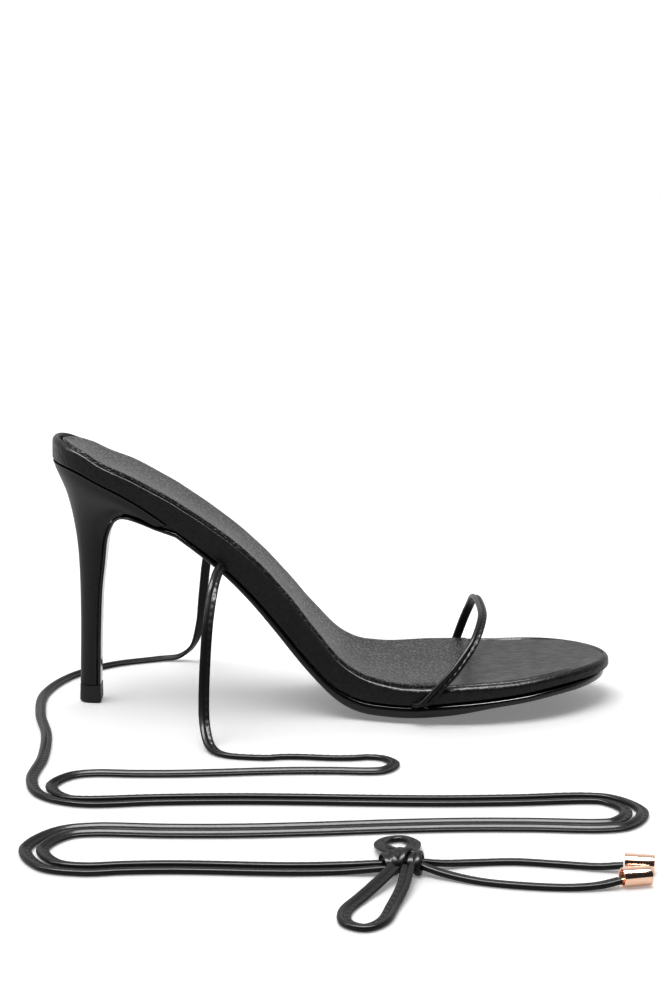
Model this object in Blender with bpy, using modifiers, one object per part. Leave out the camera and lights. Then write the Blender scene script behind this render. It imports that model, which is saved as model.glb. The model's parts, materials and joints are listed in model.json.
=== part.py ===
# Lace up heeled sandal, the right shoe of a pair.
# X runs from the heel to the toe, Y to the inner side of the foot and Z up from the floor.
# The origin is on the floor, under the middle of the shoe.

import math

import bmesh
import bpy
from mathutils import Vector

# Driving sizes in metres
gap = 0.0003
sole_length = 0.221
seat_width = 0.051
waist_width = 0.0455
ball_width = 0.0785
toe_width = 0.061
heel_height = 0.0976
toe_spring = 0.0098
tread_crown = 0.0036
tread_flat = 0.0012

# Where the flat tread starts and ends, as shares of the sole length
tread_from = 0.47
tread_full = 0.53
tread_fades = 0.69
tread_ends = 0.79

# Thickness of each layer
outsole_waist = 0.0018
outsole_ball = 0.0030
outsole_toe = 0.0024
flap_thickness = 0.0013
footbed_seat = 0.0067
footbed_shank = 0.0092
footbed_ball = 0.0068
footbed_toe = 0.0046
rim_radius = 0.0016
rim_radius_toe = 0.0023
lower_edge = 0.0007
dish_depth = 0.0016
dish_depth_toe = 0.0003
inner_rise = 0.0014
outsole_inset = 0.0003

# Where the footbed's dish fades, its inner side rises under the ball and its rim grows, as shares of
# the sole length
dish_fades = 0.66
dish_ends = 0.92
rise_from = 0.42
rise_full = 0.51
rise_fades = 0.62
rise_ends = 0.76
rim_grows = 0.45
rim_grown = 0.65

# Grained sock in the footbed's top
sock_inset = 0.0034
sock_thickness = 0.0011
sock_sunk = 0.0004
sock_end_outer = 0.615
sock_end_inner = 0.670
sock_bow = 0.0030

# Heel
tip_height = 0.0070
tip_lip = 0.0003
tip_chamfer = 0.0006
heel_inset = 0.0006
lip_reach = 0.0486
lip_start = 0.955
heel_widest = 0.3

# Toe strap
strap_width = 0.0044
strap_thickness = 0.0020
strap_rise = 0.0290
strap_clearance = 0.0004
strap_tuck = 0.0050
strap_bend = 0.0016
strap_foot = 0.0022
# Below 1 the strap's arch has fuller shoulders, sideways and upwards
strap_shoulder = 0.62
strap_crest = 0.95

# Ankle ties, laid down on the floor
tie_diameter = 0.0030
tip_diameter = 0.0056
tip_length = 0.0088
tip_edge = 0.0004
tip_gap = 0.0005
knot_length = 0.0125
knot_width = 0.0095
knot_height = 0.0072
floor_clear = 0.0001

# Outline of the footbed seen from above: share of the length, the width it follows, share of that width.
# It starts at the back of the heel, runs along the outer side to the toe and back on the inner side.
sizes = {"seat": seat_width, "waist": waist_width, "ball": ball_width, "toe": toe_width}
outline_rows = [
    ("along", "size", "across"),
    (0.000, "seat", 0.00),
    (0.032, "seat", -0.345),
    (0.110, "seat", -0.490),
    (0.215, "seat", -0.497),
    (0.325, "waist", -0.540),
    (0.430, "waist", -0.560),
    (0.520, "ball", -0.382),
    (0.600, "ball", -0.450),
    (0.685, "ball", -0.493),
    (0.775, "ball", -0.478),
    (0.855, "toe", -0.530),
    (0.925, "toe", -0.375),
    (0.978, "toe", -0.165),
    (1.000, "toe", 0.075),
    (0.984, "toe", 0.295),
    (0.938, "toe", 0.475),
    (0.870, "ball", 0.455),
    (0.790, "ball", 0.492),
    (0.710, "ball", 0.490),
    (0.630, "ball", 0.450),
    (0.545, "ball", 0.372),
    (0.450, "waist", 0.500),
    (0.345, "waist", 0.445),
    (0.235, "seat", 0.455),
    (0.115, "seat", 0.485),
    (0.033, "seat", 0.345),
]
toe_row = 13

# Side view of the joint between footbed and outsole. The rise is a share of the heel's height over
# the tread, the spring a share of the toe spring and the crown a share of the tread's crown.
profile_rows = [
    ("along", "rise", "spring", "crown"),
    (0.000, 1.000, 0.00, 0.00),
    (0.048, 0.972, 0.00, 0.00),
    (0.090, 0.924, 0.00, 0.00),
    (0.134, 0.876, 0.00, 0.00),
    (0.182, 0.806, 0.00, 0.00),
    (0.228, 0.726, 0.00, 0.00),
    (0.274, 0.644, 0.00, 0.05),
    (0.319, 0.553, 0.00, 0.15),
    (0.364, 0.442, 0.00, 0.30),
    (0.410, 0.310, 0.00, 0.50),
    (0.455, 0.176, 0.00, 0.75),
    (0.500, 0.067, 0.00, 0.95),
    (0.545, 0.013, 0.00, 1.00),
    (0.590, 0.001, 0.00, 1.00),
    (0.636, 0.000, 0.00, 1.00),
    (0.700, 0.000, 0.13, 0.98),
    (0.765, 0.000, 0.28, 0.90),
    (0.830, 0.000, 0.45, 0.75),
    (0.905, 0.000, 0.71, 0.45),
    (1.000, 0.000, 0.95, 0.00),
]

# Thickness of footbed and outsole along the shoe, in shares of the named thicknesses
layer_rows = [
    ("along", "footbed size", "footbed", "outsole size", "outsole"),
    (0.000, footbed_seat, 1.42, outsole_waist, 0.80),
    (0.040, footbed_seat, 1.18, outsole_waist, 0.80),
    (0.090, footbed_seat, 1.00, outsole_waist, 0.80),
    (0.182, footbed_seat, 1.07, outsole_waist, 0.80),
    (0.228, footbed_shank, 0.91, outsole_waist, 0.85),
    (0.274, footbed_shank, 0.97, outsole_waist, 0.95),
    (0.364, footbed_shank, 1.00, outsole_waist, 1.15),
    (0.455, footbed_shank, 1.02, outsole_ball, 0.88),
    (0.545, footbed_shank, 0.96, outsole_ball, 1.00),
    (0.610, footbed_ball, 1.06, outsole_ball, 1.00),
    (0.700, footbed_ball, 0.95, outsole_ball, 0.95),
    (0.830, footbed_toe, 1.12, outsole_toe, 1.05),
    (1.000, footbed_toe, 1.00, outsole_toe, 1.00),
]

# Breast of the heel from the arch down, on the face of the outsole's flap: the place is measured
# forward from the heel's back in shares of the lip's reach, the height is a share of the heel's
# height and the half width a share of the seat width.
breast_rows = [
    ("place", "height", "half width"),
    (0.854, 0.743, 0.455),
    (0.728, 0.766, 0.425),
    (0.605, 0.775, 0.340),
    (0.529, 0.755, 0.235),
    (0.477, 0.708, 0.165),
    (0.451, 0.658, 0.136),
    (0.432, 0.569, 0.121),
    (0.407, 0.454, 0.106),
    (0.395, 0.297, 0.095),
    (0.389, 0.150, 0.090),
    (0.387, 0.075, 0.088),
]

# Sections of the heel from its seat down: how far the back has come forward and its height, in the
# same shares, the breast row that its front meets, the half width as a share of the seat width and
# how much of the seat's own outline is left in it.
heel_rows = [
    ("back", "height", "breast row", "half width", "seat shape"),
    (0.004, 0.996, -1.0, 0.488, 1.00),
    (0.025, 0.966, 0.0, 0.470, 0.92),
    (0.066, 0.922, 1.0, 0.425, 0.70),
    (0.113, 0.866, 2.0, 0.350, 0.45),
    (0.150, 0.797, 3.0, 0.262, 0.22),
    (0.177, 0.728, 4.0, 0.196, 0.08),
    (0.198, 0.656, 5.0, 0.158, 0.00),
    (0.212, 0.570, 6.0, 0.132, 0.00),
    (0.220, 0.450, 7.0, 0.112, 0.00),
    (0.222, 0.298, 8.0, 0.100, 0.00),
    (0.218, 0.150, 9.0, 0.093, 0.00),
    (0.216, 0.075, 10.0, 0.090, 0.00),
]

# Toe strap from its outer end over the toes to its inner end: the turn is in degrees over the arch
# and the place along is a share of the sole length.
strap_rows = [
    ("turn", "along"),
    (0, 0.6640),
    (10, 0.6860),
    (20, 0.7070),
    (30, 0.7235),
    (45, 0.7440),
    (60, 0.7570),
    (75, 0.7660),
    (90, 0.7700),
    (105, 0.7695),
    (120, 0.7690),
    (135, 0.7670),
    (150, 0.7600),
    (160, 0.7540),
    (170, 0.7475),
    (180, 0.7400),
]

# The ties in millimetres. Each comes out of the joint at the arch and falls to the floor. The inner
# one then goes round behind the heel.
outer_fall = [
    ("x", "y", "z"),
    (-42, -25.3, 58.6),
    (-42.6, -31, 59.6),
    (-44, -38, 58),
    (-45.5, -45, 52.5),
    (-46.8, -50.5, 43),
    (-47.6, -54.5, 31),
    (-48, -58, 18),
    (-47.5, -62.5, 8),
    (-45, -69.5, 2.6),
    (-39, -76, 1.6),
]
inner_fall = [
    ("x", "y", "z"),
    (-46, 22.3, 62.2),
    (-46.6, 28, 63.1),
    (-48, 35, 61.5),
    (-50, 42, 56),
    (-52, 47.5, 46),
    (-53.5, 51.5, 33),
    (-55, 55, 19),
    (-58, 58.5, 8.5),
    (-64, 61, 2.8),
    (-74, 60.5, 1.6),
    (-93, 51, 1.6),
    (-108, 32, 1.6),
    (-115, 6, 1.6),
    (-113, -22, 1.6),
    (-107, -50, 1.6),
    (-104.5, -78, 1.6),
    (-105, -102, 1.6),
    (-99, -119, 1.6),
]

# The lanes in which the ties lie in front of the shoe, in millimetres: where a lane lies, where it
# turns back and how far it sways. Round folds join them, and the last lane ends at the knot.
outer_lanes = [
    ("y", "turn", "sway"),
    (-79, 12, 1.0),
    (-96, -84, 1.2),
    (-122.5, 82, 1.8),
    (-155.5, -78, 2.0),
    (-183.5, 10.5, 1.2),
]
inner_lanes = [
    ("y", "turn", "sway"),
    (-127.8, 82, 1.8),
    (-150.2, -78, 2.0),
    (-188.8, 10.5, 1.2),
]
outer_lane_start = -26
inner_lane_start = -84
lane_steps = 7
fold_turns = (40, 90, 140)

# Loops and free ends of the bow in millimetres, from the knot outwards
short_loop_rows = [
    ("x", "y", "z"),
    (15.2, -183.2, 4.4),
    (12.6, -177, 3.5),
    (11.6, -170, 2.4),
    (14, -164, 1.7),
    (18.8, -162.6, 1.7),
    (22, -167.5, 2.1),
    (21.6, -175, 3.3),
    (19.6, -183.2, 4.6),
]
long_loop_rows = [
    ("x", "y", "z"),
    (14.6, -194.2, 4.2),
    (10.4, -201, 3.1),
    (4.4, -210.5, 1.8),
    (-0.4, -220, 1.6),
    (-0.6, -228, 1.6),
    (4.6, -231.6, 1.6),
    (9.8, -227, 1.6),
    (13, -217, 1.8),
    (16.4, -206, 3),
    (18.8, -194.2, 4.5),
]
outer_end_rows = [
    ("x", "y", "z"),
    (23.5, -187.2, 3.7),
    (30, -185.5, 2.3),
    (40, -183.2, 1.6),
    (52, -182.8, 1.6),
    (64, -185, 1.6),
    (75, -188, 1.9),
    (83, -189.8, 2.8),
]
inner_end_rows = [
    ("x", "y", "z"),
    (23.5, -190.2, 3.7),
    (30, -194, 2.2),
    (40, -198.6, 1.6),
    (52, -202, 1.6),
    (64, -203.6, 1.6),
    (73, -203.2, 1.9),
    (80, -201.9, 2.8),
]
knot_place = {"x": 17.2, "y": -188.6}
knot_entry = {"aside": 2.7, "up": 2.7}
tie_segments = 76
loop_segments = {"short": 14, "long": 20}
end_segments = 14
millimetre = 0.001


# Curves through the rows of a table

def values(rows, name):
    column = rows[0].index(name)
    return [row[column] for row in rows[1:]]


def through(numbers, at):
    """A smooth curve through evenly spaced numbers, at a place counted in rows."""
    last = len(numbers) - 1
    i = min(max(int(math.floor(at)), 0), last - 1)
    t = at - i
    before = numbers[i - 1] if i > 0 else 2 * numbers[0] - numbers[1]
    after = numbers[i + 2] if i + 2 <= last else 2 * numbers[last] - numbers[last - 1]
    a, b = numbers[i], numbers[i + 1]
    bend = 2 * before - 5 * a + 4 * b - after
    twist = -before + 3 * a - 3 * b + after
    return a + 0.5 * t * (b - before + t * (bend + t * twist))


def along_table(rows, name, along):
    """A smooth curve through one column of a table, at a share of the shoe's length."""
    xs = values(rows, "along")
    ys = values(rows, name)
    along = min(max(along, xs[0]), xs[-1])
    i = max(k for k in range(len(xs) - 1) if xs[k] <= along)
    step = xs[i + 1] - xs[i]

    def slope(k):
        low, high = max(k - 1, 0), min(k + 1, len(xs) - 1)
        return (ys[high] - ys[low]) / (xs[high] - xs[low])

    t = (along - xs[i]) / step
    start = (1 + 2 * t) * (1 - t) ** 2 * ys[i] + t * (1 - t) ** 2 * step * slope(i)
    end = t * t * (3 - 2 * t) * ys[i + 1] + t * t * (t - 1) * step * slope(i + 1)
    return start + end


def ramp(value, start, end):
    """A smooth rise from 0 to 1 between two values."""
    t = min(max((value - start) / (end - start), 0.0), 1.0)
    return t * t * (3 - 2 * t)


# The shoe's outline and its surfaces

def share(x):
    return min(max(x / sole_length + 0.5, 0.0), 1.0)


def outline_table():
    alongs = values(outline_rows, "along")
    kinds = values(outline_rows, "size")
    acrosses = values(outline_rows, "across")
    xs = [(a - 0.5) * sole_length for a in alongs]
    ys = [sizes[k] * a for k, a in zip(kinds, acrosses)]
    return xs, ys


def closed_curve(numbers, at):
    count = len(numbers)
    i = int(math.floor(at))
    window = [numbers[(i + k) % count] for k in (-1, 0, 1, 2)]
    return through(window, 1 + at - i)


def outline_point(side, way, inset=0.0):
    """A point of the outline: side -1 is outer and 1 inner, way runs from heel 0 to toe 1."""
    xs, ys = outline_table()
    count = len(xs)

    def place(w):
        at = w * toe_row if side < 0 else count - w * (count - toe_row)
        return Vector((closed_curve(xs, at), closed_curve(ys, at)))

    step = 0.004
    point = place(way)
    run = place(way + step) - place(way - step)
    if way <= 0.0 or way >= 1.0:
        inward = Vector((1.0 if way <= 0.0 else -1.0, 0.0))
    else:
        inward = Vector((run.y, -run.x)) * side
        inward.normalize()
    return point + inward * inset


def half_width(side, x):
    """How far the outline is from the middle plane, on one side, at a place along the shoe."""
    low, high = 0.0, 1.0
    for _ in range(26):
        middle = (low + high) / 2
        if outline_point(side, middle).x < x:
            low = middle
        else:
            high = middle
    return abs(outline_point(side, low).y)


def joint_height(x, across):
    """The joint between outsole and footbed; across is -1 at the outer edge and 1 at the inner."""
    s = share(x)
    base = outsole_ball + gap
    rise = along_table(profile_rows, "rise", s) * (heel_height - base)
    spring = along_table(profile_rows, "spring", s) * toe_spring
    crown = along_table(profile_rows, "crown", s) * tread_crown * across * across
    return base + rise + spring + crown


def slope_factor(x):
    """How much thicker a layer is upright than across its own slope."""
    step = 0.003
    rise = joint_height(x + step, 1) - joint_height(x - step, 1)
    return math.hypot(rise, 2 * step) / (2 * step)


def layer(name, x):
    s = share(x)
    xs = values(layer_rows, "along")
    thickness = [a * b for a, b in zip(values(layer_rows, name + " size"), values(layer_rows, name))]
    rows = [("along", "thickness")] + list(zip(xs, thickness))
    return along_table(rows, "thickness", s) * slope_factor(x)


def outsole_under(x, across):
    s = share(x)
    tread = ramp(s, tread_from, tread_full) * (1 - ramp(s, tread_fades, tread_ends))
    height = joint_height(x, across) - gap - layer("outsole", x) - tread_flat * tread
    return max(height, 0.0)


def footbed_top(x, across):
    rim = joint_height(x, 1) + layer("footbed", x)
    s = share(x)
    dish = dish_depth + (dish_depth_toe - dish_depth) * ramp(s, dish_fades, dish_ends)
    ball = ramp(s, rise_from, rise_full) * (1 - ramp(s, rise_fades, rise_ends))
    return rim - dish * (1 - across * across) + inner_rise * ball * (1 + across) / 2


# Building meshes

def principled(name, colour, roughness, metallic=0.0, coat=0.0):
    material = bpy.data.materials.new(name)
    material.use_nodes = True
    shader = material.node_tree.nodes["Principled BSDF"]
    shader.inputs["Base Color"].default_value = (*colour, 1.0)
    shader.inputs["Roughness"].default_value = roughness
    shader.inputs["Metallic"].default_value = metallic
    shader.inputs["Coat Weight"].default_value = coat
    return material


def add_object(name, mesh, collection, material=None, sharp_angle=40):
    item = bpy.data.objects.new(name, mesh)
    collection.objects.link(item)
    if material:
        mesh.materials.append(material)
        mesh.shade_smooth()
        mesh.set_sharp_from_angle(angle=math.radians(sharp_angle))
    return item


def closed_mesh(name, points, faces):
    mesh = bpy.data.meshes.new(name)
    mesh.from_pydata([tuple(p) for p in points], [], faces)
    shape = bmesh.new()
    shape.from_mesh(mesh)
    bmesh.ops.remove_doubles(shape, verts=shape.verts, dist=0.000002)
    bmesh.ops.dissolve_degenerate(shape, edges=shape.edges, dist=0.000001)
    bmesh.ops.recalc_face_normals(shape, faces=shape.faces)
    shape.to_mesh(mesh)
    shape.free()
    return mesh


def loft(name, rungs, caps):
    """A closed mesh through loops with the same number of points; caps pairs the points of an end."""
    points = [p for rung in rungs for p in rung]
    count = len(rungs[0])
    faces = []
    for k in range(len(rungs) - 1):
        a, b = k * count, (k + 1) * count
        for i in range(count):
            j = (i + 1) % count
            faces.append((a + i, a + j, b + j, b + i))
    for base in (0, (len(rungs) - 1) * count):
        for strip in caps:
            corners = {tuple(round(value, 7) for value in points[base + i]) for i in strip}
            if len(corners) > 2:
                faces.append(tuple(base + i for i in strip))
    return closed_mesh(name, points, faces)


def ways(count, last=1.0):
    """Even places along the outline, from the heel towards the toe."""
    return [last * i / count for i in range(count + 1)]


def slab(name, rings, way_outer, way_inner, columns, top, bottom, bow=0.0):
    """A layer with the shoe's outline: rings of (inset, height function) from bottom to top.
    A layer of two rings can end before the toe, with a front that bows forward."""
    count = len(way_outer)

    def ring_points(inset, height):
        sides = []
        for side, ways_on_side in ((-1, way_outer), (1, way_inner)):
            line = []
            for k, way in enumerate(ways_on_side):
                flat = outline_point(side, way, inset)
                line.append(Vector((flat.x, flat.y, height(flat.x, side))))
            sides.append(line)
        return sides

    points, faces = [], []
    loops = []
    for inset, height in rings:
        outer, inner = ring_points(inset, height)
        loop = outer + inner[::-1]
        loops.append(len(points))
        points += loop
    size = 2 * count
    fronts = []
    for a, b in zip(loops, loops[1:]):
        for i in range(size):
            j = (i + 1) % size
            faces.append((a + i, a + j, b + j, b + i))
    for start, surface in ((loops[0], bottom), (loops[-1], top)):
        grid = []
        for i in range(count):
            low, high = points[start + i], points[start + size - 1 - i]
            row = [start + i]
            for c in range(1, columns):
                across = -1 + 2 * c / columns if (high - low).length > gap else 1
                x = low.x + (high.x - low.x) * c / columns
                x += bow * (1 - across * across) * way_outer[i] / way_outer[-1]
                y = low.y + (high.y - low.y) * c / columns
                points.append(Vector((x, y, surface(x, across))))
                row.append(len(points) - 1)
            row.append(start + size - 1 - i)
            grid.append(row)
        for r, s in zip(grid, grid[1:]):
            for c in range(columns):
                faces.append((r[c], r[c + 1], s[c + 1], s[c]))
        fronts.append(grid[-1])
    if bow:
        flat = {loop + count - 1 for loop in loops} | {loop + count for loop in loops}
        faces = [face for face in faces if not set(face) <= flat]
        for c in range(columns):
            faces.append((fronts[0][c], fronts[0][c + 1], fronts[1][c + 1], fronts[1][c]))
    return closed_mesh(name, points, faces)


def sweep(name, centres, widths, section):
    """A band along a line: widths gives the direction across the band at each point."""
    rungs = []
    for k, centre in enumerate(centres):
        before, after = centres[max(k - 1, 0)], centres[min(k + 1, len(centres) - 1)]
        run = (after - before).normalized()
        across = (widths[k] - run * widths[k].dot(run)).normalized()
        out = run.cross(across)
        rungs.append([centre + across * u + out * v for u, v in section])
    return loft(name, rungs, [tuple(range(len(section)))])


def rounded_section(width, thickness, count=12, power=0.55):
    section = []
    for k in range(count):
        turn = 2 * math.pi * (k + 0.5) / count
        c, s = math.cos(turn), math.sin(turn)
        u = math.copysign(abs(c) ** power, c) * width / 2
        v = math.copysign(abs(s) ** power, s) * thickness / 2
        section.append((u, v))
    return section


# Sub-parts

def footbed(collection, cutters, material):
    def radius(x):
        return rim_radius + (rim_radius_toe - rim_radius) * ramp(share(x), rim_grows, rim_grown)

    def rim(turn):
        drop = 1 - math.sin(math.radians(turn))
        return lambda x, side: footbed_top(x, side) - radius(x) * drop

    rings = [
        (lower_edge, joint_height),
        (0.0, lambda x, side: joint_height(x, side) + lower_edge),
    ]
    for turn in (0, 30, 60, 90):
        rings.append((rim_radius_toe * (1 - math.cos(math.radians(turn))), rim(turn)))
    around = ways(44)
    mesh = slab("footbed", rings, around, around, 8, footbed_top, joint_height)
    bed = add_object("footbed", mesh, collection, material)
    for cutter in cutters:
        cut = bed.modifiers.new(cutter.name, "BOOLEAN")
        cut.operation = "DIFFERENCE"
        cut.object = cutter
    return bed


def sock_slab(name, inset, low, high, longer=0.0):
    """The sock's outline, between two depths under the footbed's top."""
    outer_ways = ways(28, sock_end_outer + longer / sole_length)
    inner_ways = ways(28, sock_end_inner + longer / sole_length)

    def under(x, across):
        return footbed_top(x, across) - low

    def over(x, across):
        return footbed_top(x, across) - high

    rings = [(inset, under), (inset, over)]
    return slab(name, rings, outer_ways, inner_ways, 8, over, under, sock_bow)


def insole(collection, material):
    mesh = sock_slab("insole", sock_inset, sock_sunk + sock_thickness, sock_sunk)
    return add_object("insole", mesh, collection, material)


def sock_recess(collection):
    depth = sock_sunk + sock_thickness + gap
    mesh = sock_slab("sock_recess", sock_inset - gap, depth, -0.004, gap)
    return add_object("sock_recess", mesh, collection)


def breast_line(refine=2):
    """Points of the breast in the side view with the way out from the heel and the half width."""
    places, heights, halves = (values(breast_rows, n) for n in ("place", "height", "half width"))
    count = (len(places) - 1) * refine
    line = []
    for k in range(count + 1):
        at = k / refine
        x = -sole_length / 2 + through(places, at) * lip_reach
        z = through(heights, at) * heel_height
        line.append([Vector((x, z)), None, through(halves, at) * seat_width])
    line[-1][0].y = tip_height + gap
    for k, row in enumerate(line):
        before, after = line[max(k - 1, 0)][0], line[min(k + 1, count)][0]
        run = (after - before).normalized()
        row[1] = Vector((-run.y, run.x))
    return line


def outsole(collection, material):
    columns = 8
    rungs = []
    reach = -sole_length / 2 + lip_reach

    def cross_rung(low, high, over, under):
        upper, lower = [], []
        for c in range(columns + 1):
            across = -1 + 2 * c / columns if (high - low).length > gap else 1
            x = low.x + (high.x - low.x) * c / columns
            y = low.y + (high.y - low.y) * c / columns
            upper.append(Vector((x, y, over(x, across))))
            lower.append(Vector((x, y, under(x, across))))
        return upper + lower[::-1]

    for way in reversed(ways(54)):
        low, high = (outline_point(side, way, outsole_inset) for side in (-1, 1))
        if min(low.x, high.x) < reach:
            break
        rungs.append(cross_rung(low, high, lambda x, a: joint_height(x, a) - gap, outsole_under))
    for place, out, half in breast_line():
        inner = place - out * flap_thickness
        upper, lower = [], []
        for c in range(columns + 1):
            y = half * (-1 + 2 * c / columns)
            upper.append(Vector((inner.x, y, inner.y)))
            lower.append(Vector((place.x, y, place.y)))
        rungs.append(upper + lower[::-1])
    for point in rungs[-1]:
        point.z = tip_height + gap
    size = 2 * (columns + 1)
    caps = [(i, i + 1, size - 2 - i, size - 1 - i) for i in range(columns)]
    return add_object("outsole", loft("outsole", rungs, caps), collection, material)


def heel(collection, material):
    names = ("back", "height", "breast row", "half width", "seat shape")
    backs, heights, meets, halves, shapes = (values(heel_rows, n) for n in names)
    breast = breast_line()
    refine = 2
    steps = 10
    back_edge = -sole_length / 2

    def front_of(at):
        if at < 0:
            tip = Vector((back_edge + lip_start * lip_reach, 0.0))
            tip.y = joint_height(tip.x, 0) - 2 * gap
            blend = 1 + at
            first = front_of(0.0)
            tip_half = half_width(-1, tip.x) - heel_inset
            return tip.lerp(first[0], blend), tip_half * (1 - blend) + first[1] * blend
        k = min(at * refine, len(breast) - 1)
        i = min(int(k), len(breast) - 2)
        a, b = breast[i], breast[i + 1]
        place = a[0].lerp(b[0], k - i)
        out = a[1].lerp(b[1], k - i).normalized()
        half = a[2] + (b[2] - a[2]) * (k - i)
        return place - out * (flap_thickness + gap), half

    def d_shape(q, front, widest):
        if q < heel_widest:
            return front + (widest - front) * math.sin(q / heel_widest * math.pi / 2)
        return widest * math.sqrt(max(0.0, 1 - ((q - heel_widest) / (1 - heel_widest)) ** 2))

    rungs = []
    count = (len(backs) - 1) * refine
    for k in range(count + 1):
        at = k / refine
        back = Vector((back_edge + through(backs, at) * lip_reach, through(heights, at) * heel_height))
        if k == count:
            back.y = tip_height + gap
        front, front_half = front_of(through(meets, at))
        widest = through(halves, at) * seat_width
        front_half = min(front_half, widest)
        seat = max(0.0, through(shapes, at)) if k else 1.0
        if k == count:
            front.y = tip_height + gap
        sides = {-1: [], 1: []}
        for i in range(steps + 1):
            q = math.sin(math.pi / 2 * i / steps)
            x = front.x + (back.x - front.x) * q
            z = front.y + (back.y - front.y) * q
            top_x = back_edge + lip_reach * (lip_start + (backs[0] - lip_start) * q)
            top_line = joint_height(back_edge + lip_reach * lip_start, 0) * (1 - q)
            top_line += joint_height(back_edge + lip_reach * backs[0], 0) * q
            z += (joint_height(top_x, 0) - top_line) * seat * seat
            if k == 0:
                z = joint_height(x, 0) - gap
            for side in (-1, 1):
                round_half = d_shape(q, front_half, widest)
                seat_half = max(half_width(side, top_x) - heel_inset, 0.0)
                seat_half *= widest / (seat_width * halves[0])
                if i == steps:
                    seat_half = 0.0
                y = side * (round_half * (1 - seat) + seat_half * seat)
                sides[side].append(Vector((x, y, z)))
        rungs.append(sides[-1] + sides[1][-2::-1])
    size = 2 * steps + 1
    caps = [(i, i + 1, size - 2 - i, size - 1 - i) for i in range(steps - 1)]
    caps.append((steps - 1, steps, steps + 1))
    return add_object("heel", loft("heel", rungs, caps), collection, material)


def heel_tip(collection, material):
    back = -sole_length / 2 + heel_rows[-1][0] * lip_reach
    front = -sole_length / 2 + breast_rows[-1][0] * lip_reach
    half = heel_rows[-1][3] * seat_width
    steps = 8

    def ring(grow, height):
        low, high = front + grow, back - grow
        line = []
        for side in (-1, 1):
            edge = []
            for i in range(steps + 1):
                q = math.sin(math.pi / 2 * i / steps)
                x = low + (high - low) * q
                round_off = max(q - heel_widest, 0) / (1 - heel_widest)
                y = (half + grow) * math.sqrt(max(0.0, 1 - round_off ** 2))
                edge.append(Vector((x, side * y, height)))
            line.append(edge)
        return line[0] + line[1][-2::-1]

    rungs = [
        ring(-tip_chamfer + tip_lip, 0.0),
        ring(tip_lip, tip_chamfer),
        ring(tip_lip / 3, tip_height),
    ]
    size = 2 * steps + 1
    caps = [(i, i + 1, size - 2 - i, size - 1 - i) for i in range(steps - 1)]
    caps.append((steps - 1, steps, steps + 1))
    return add_object("heel_tip", loft("heel_tip", rungs, caps), collection, material)


def strap_mesh(name, extra):
    """The toe strap with both ends tucked under the footbed; extra thickens it for its pockets."""
    turns = values(strap_rows, "turn")
    alongs = values(strap_rows, "along")
    xs = [(a - 0.5) * sole_length for a in alongs]
    rise_of = strap_thickness / 2 + gap
    ends = {}
    for side, x in ((-1, xs[0]), (1, xs[-1])):
        half = half_width(side, x)
        ends[side] = (x, half, joint_height(x, side) - gap + rise_of)
    reach = max(e[1] for e in ends.values()) + strap_clearance + strap_thickness / 2
    bend = strap_bend

    def tuck(side):
        x, half, z = ends[side]
        corner = reach - bend
        floor = joint_height(x, side * (1 - strap_tuck / half)) - gap + rise_of
        return [
            Vector((x, side * (reach - strap_tuck - bend), floor)),
            Vector((x, side * (reach - 0.5 * strap_tuck - bend), (floor + z) / 2)),
            Vector((x, side * corner, z)),
            Vector((x, side * (corner + 0.62 * bend), z + 0.25 * bend)),
            Vector((x, side * (corner + 0.95 * bend), z + 0.75 * bend)),
        ]

    centres = tuck(-1)
    count = 2 * (len(turns) - 1)
    for k in range(count + 1):
        turn = math.radians(through(turns, k / 2))
        x = through(xs, k / 2)
        c, s = math.cos(turn), math.sin(turn)
        low = ends[-1][2] + (ends[1][2] - ends[-1][2]) * (1 - c) / 2 + strap_foot
        y = -reach * math.copysign(abs(c) ** strap_shoulder, c)
        up = (strap_rise - strap_foot) * max(s, 0.0) ** strap_crest
        centres.append(Vector((x, y, low + up)))
    centres += tuck(1)[::-1]
    widths = [Vector((1, 0, 0))] * len(centres)
    section = rounded_section(strap_width + 2 * extra, strap_thickness + 2 * extra)
    return sweep(name, centres, widths, section)


def toe_strap(collection, material):
    return add_object("toe_strap", strap_mesh("toe_strap", 0.0), collection, material, 50)


def strap_pockets(collection):
    return add_object("strap_pockets", strap_mesh("strap_pockets", gap), collection)


def lane_rows(start, lanes, aside):
    """Rows for a tie's lanes on the floor, the folds between them and its way into the knot."""
    rows = []
    flat = (tie_diameter / 2 + floor_clear) / millimetre
    places = list(zip(*(values(lanes, name) for name in ("y", "turn", "sway"))))
    for k, (y, turn, sway) in enumerate(places):
        for i in range(lane_steps + 1):
            t = i / lane_steps
            rows.append((start + (turn - start) * t, y + sway * math.sin(2 * math.pi * t), flat))
        if k + 1 < len(places):
            across = places[k + 1][0] - y
            out = math.copysign(abs(across) / 2, turn - start)
            for degrees in fold_turns:
                angle = math.radians(degrees)
                rows.append((turn + out * math.sin(angle), y + across * (1 - math.cos(angle)) / 2, flat))
        start = turn
    rows[-1] = (start, knot_place["y"] + aside * knot_entry["aside"], knot_entry["up"])
    return rows


def smooth_route(rows, count):
    """Evenly spaced points of a smooth curve through rows of x, y and z."""
    columns = [[row[axis] * millimetre for row in rows[1:]] for axis in range(3)]
    fine = []
    last = len(rows) - 2
    steps = 12
    for k in range(last * steps + 1):
        fine.append(Vector([through(c, min(k / steps, last)) for c in columns]))
    lengths = [0.0]
    for a, b in zip(fine, fine[1:]):
        lengths.append(lengths[-1] + (b - a).length)
    points = []
    k = 0
    for i in range(count):
        want = lengths[-1] * i / (count - 1)
        while k < len(fine) - 2 and lengths[k + 1] < want:
            k += 1
        part = (want - lengths[k]) / (lengths[k + 1] - lengths[k])
        points.append(fine[k].lerp(fine[k + 1], part))
    return points


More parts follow.
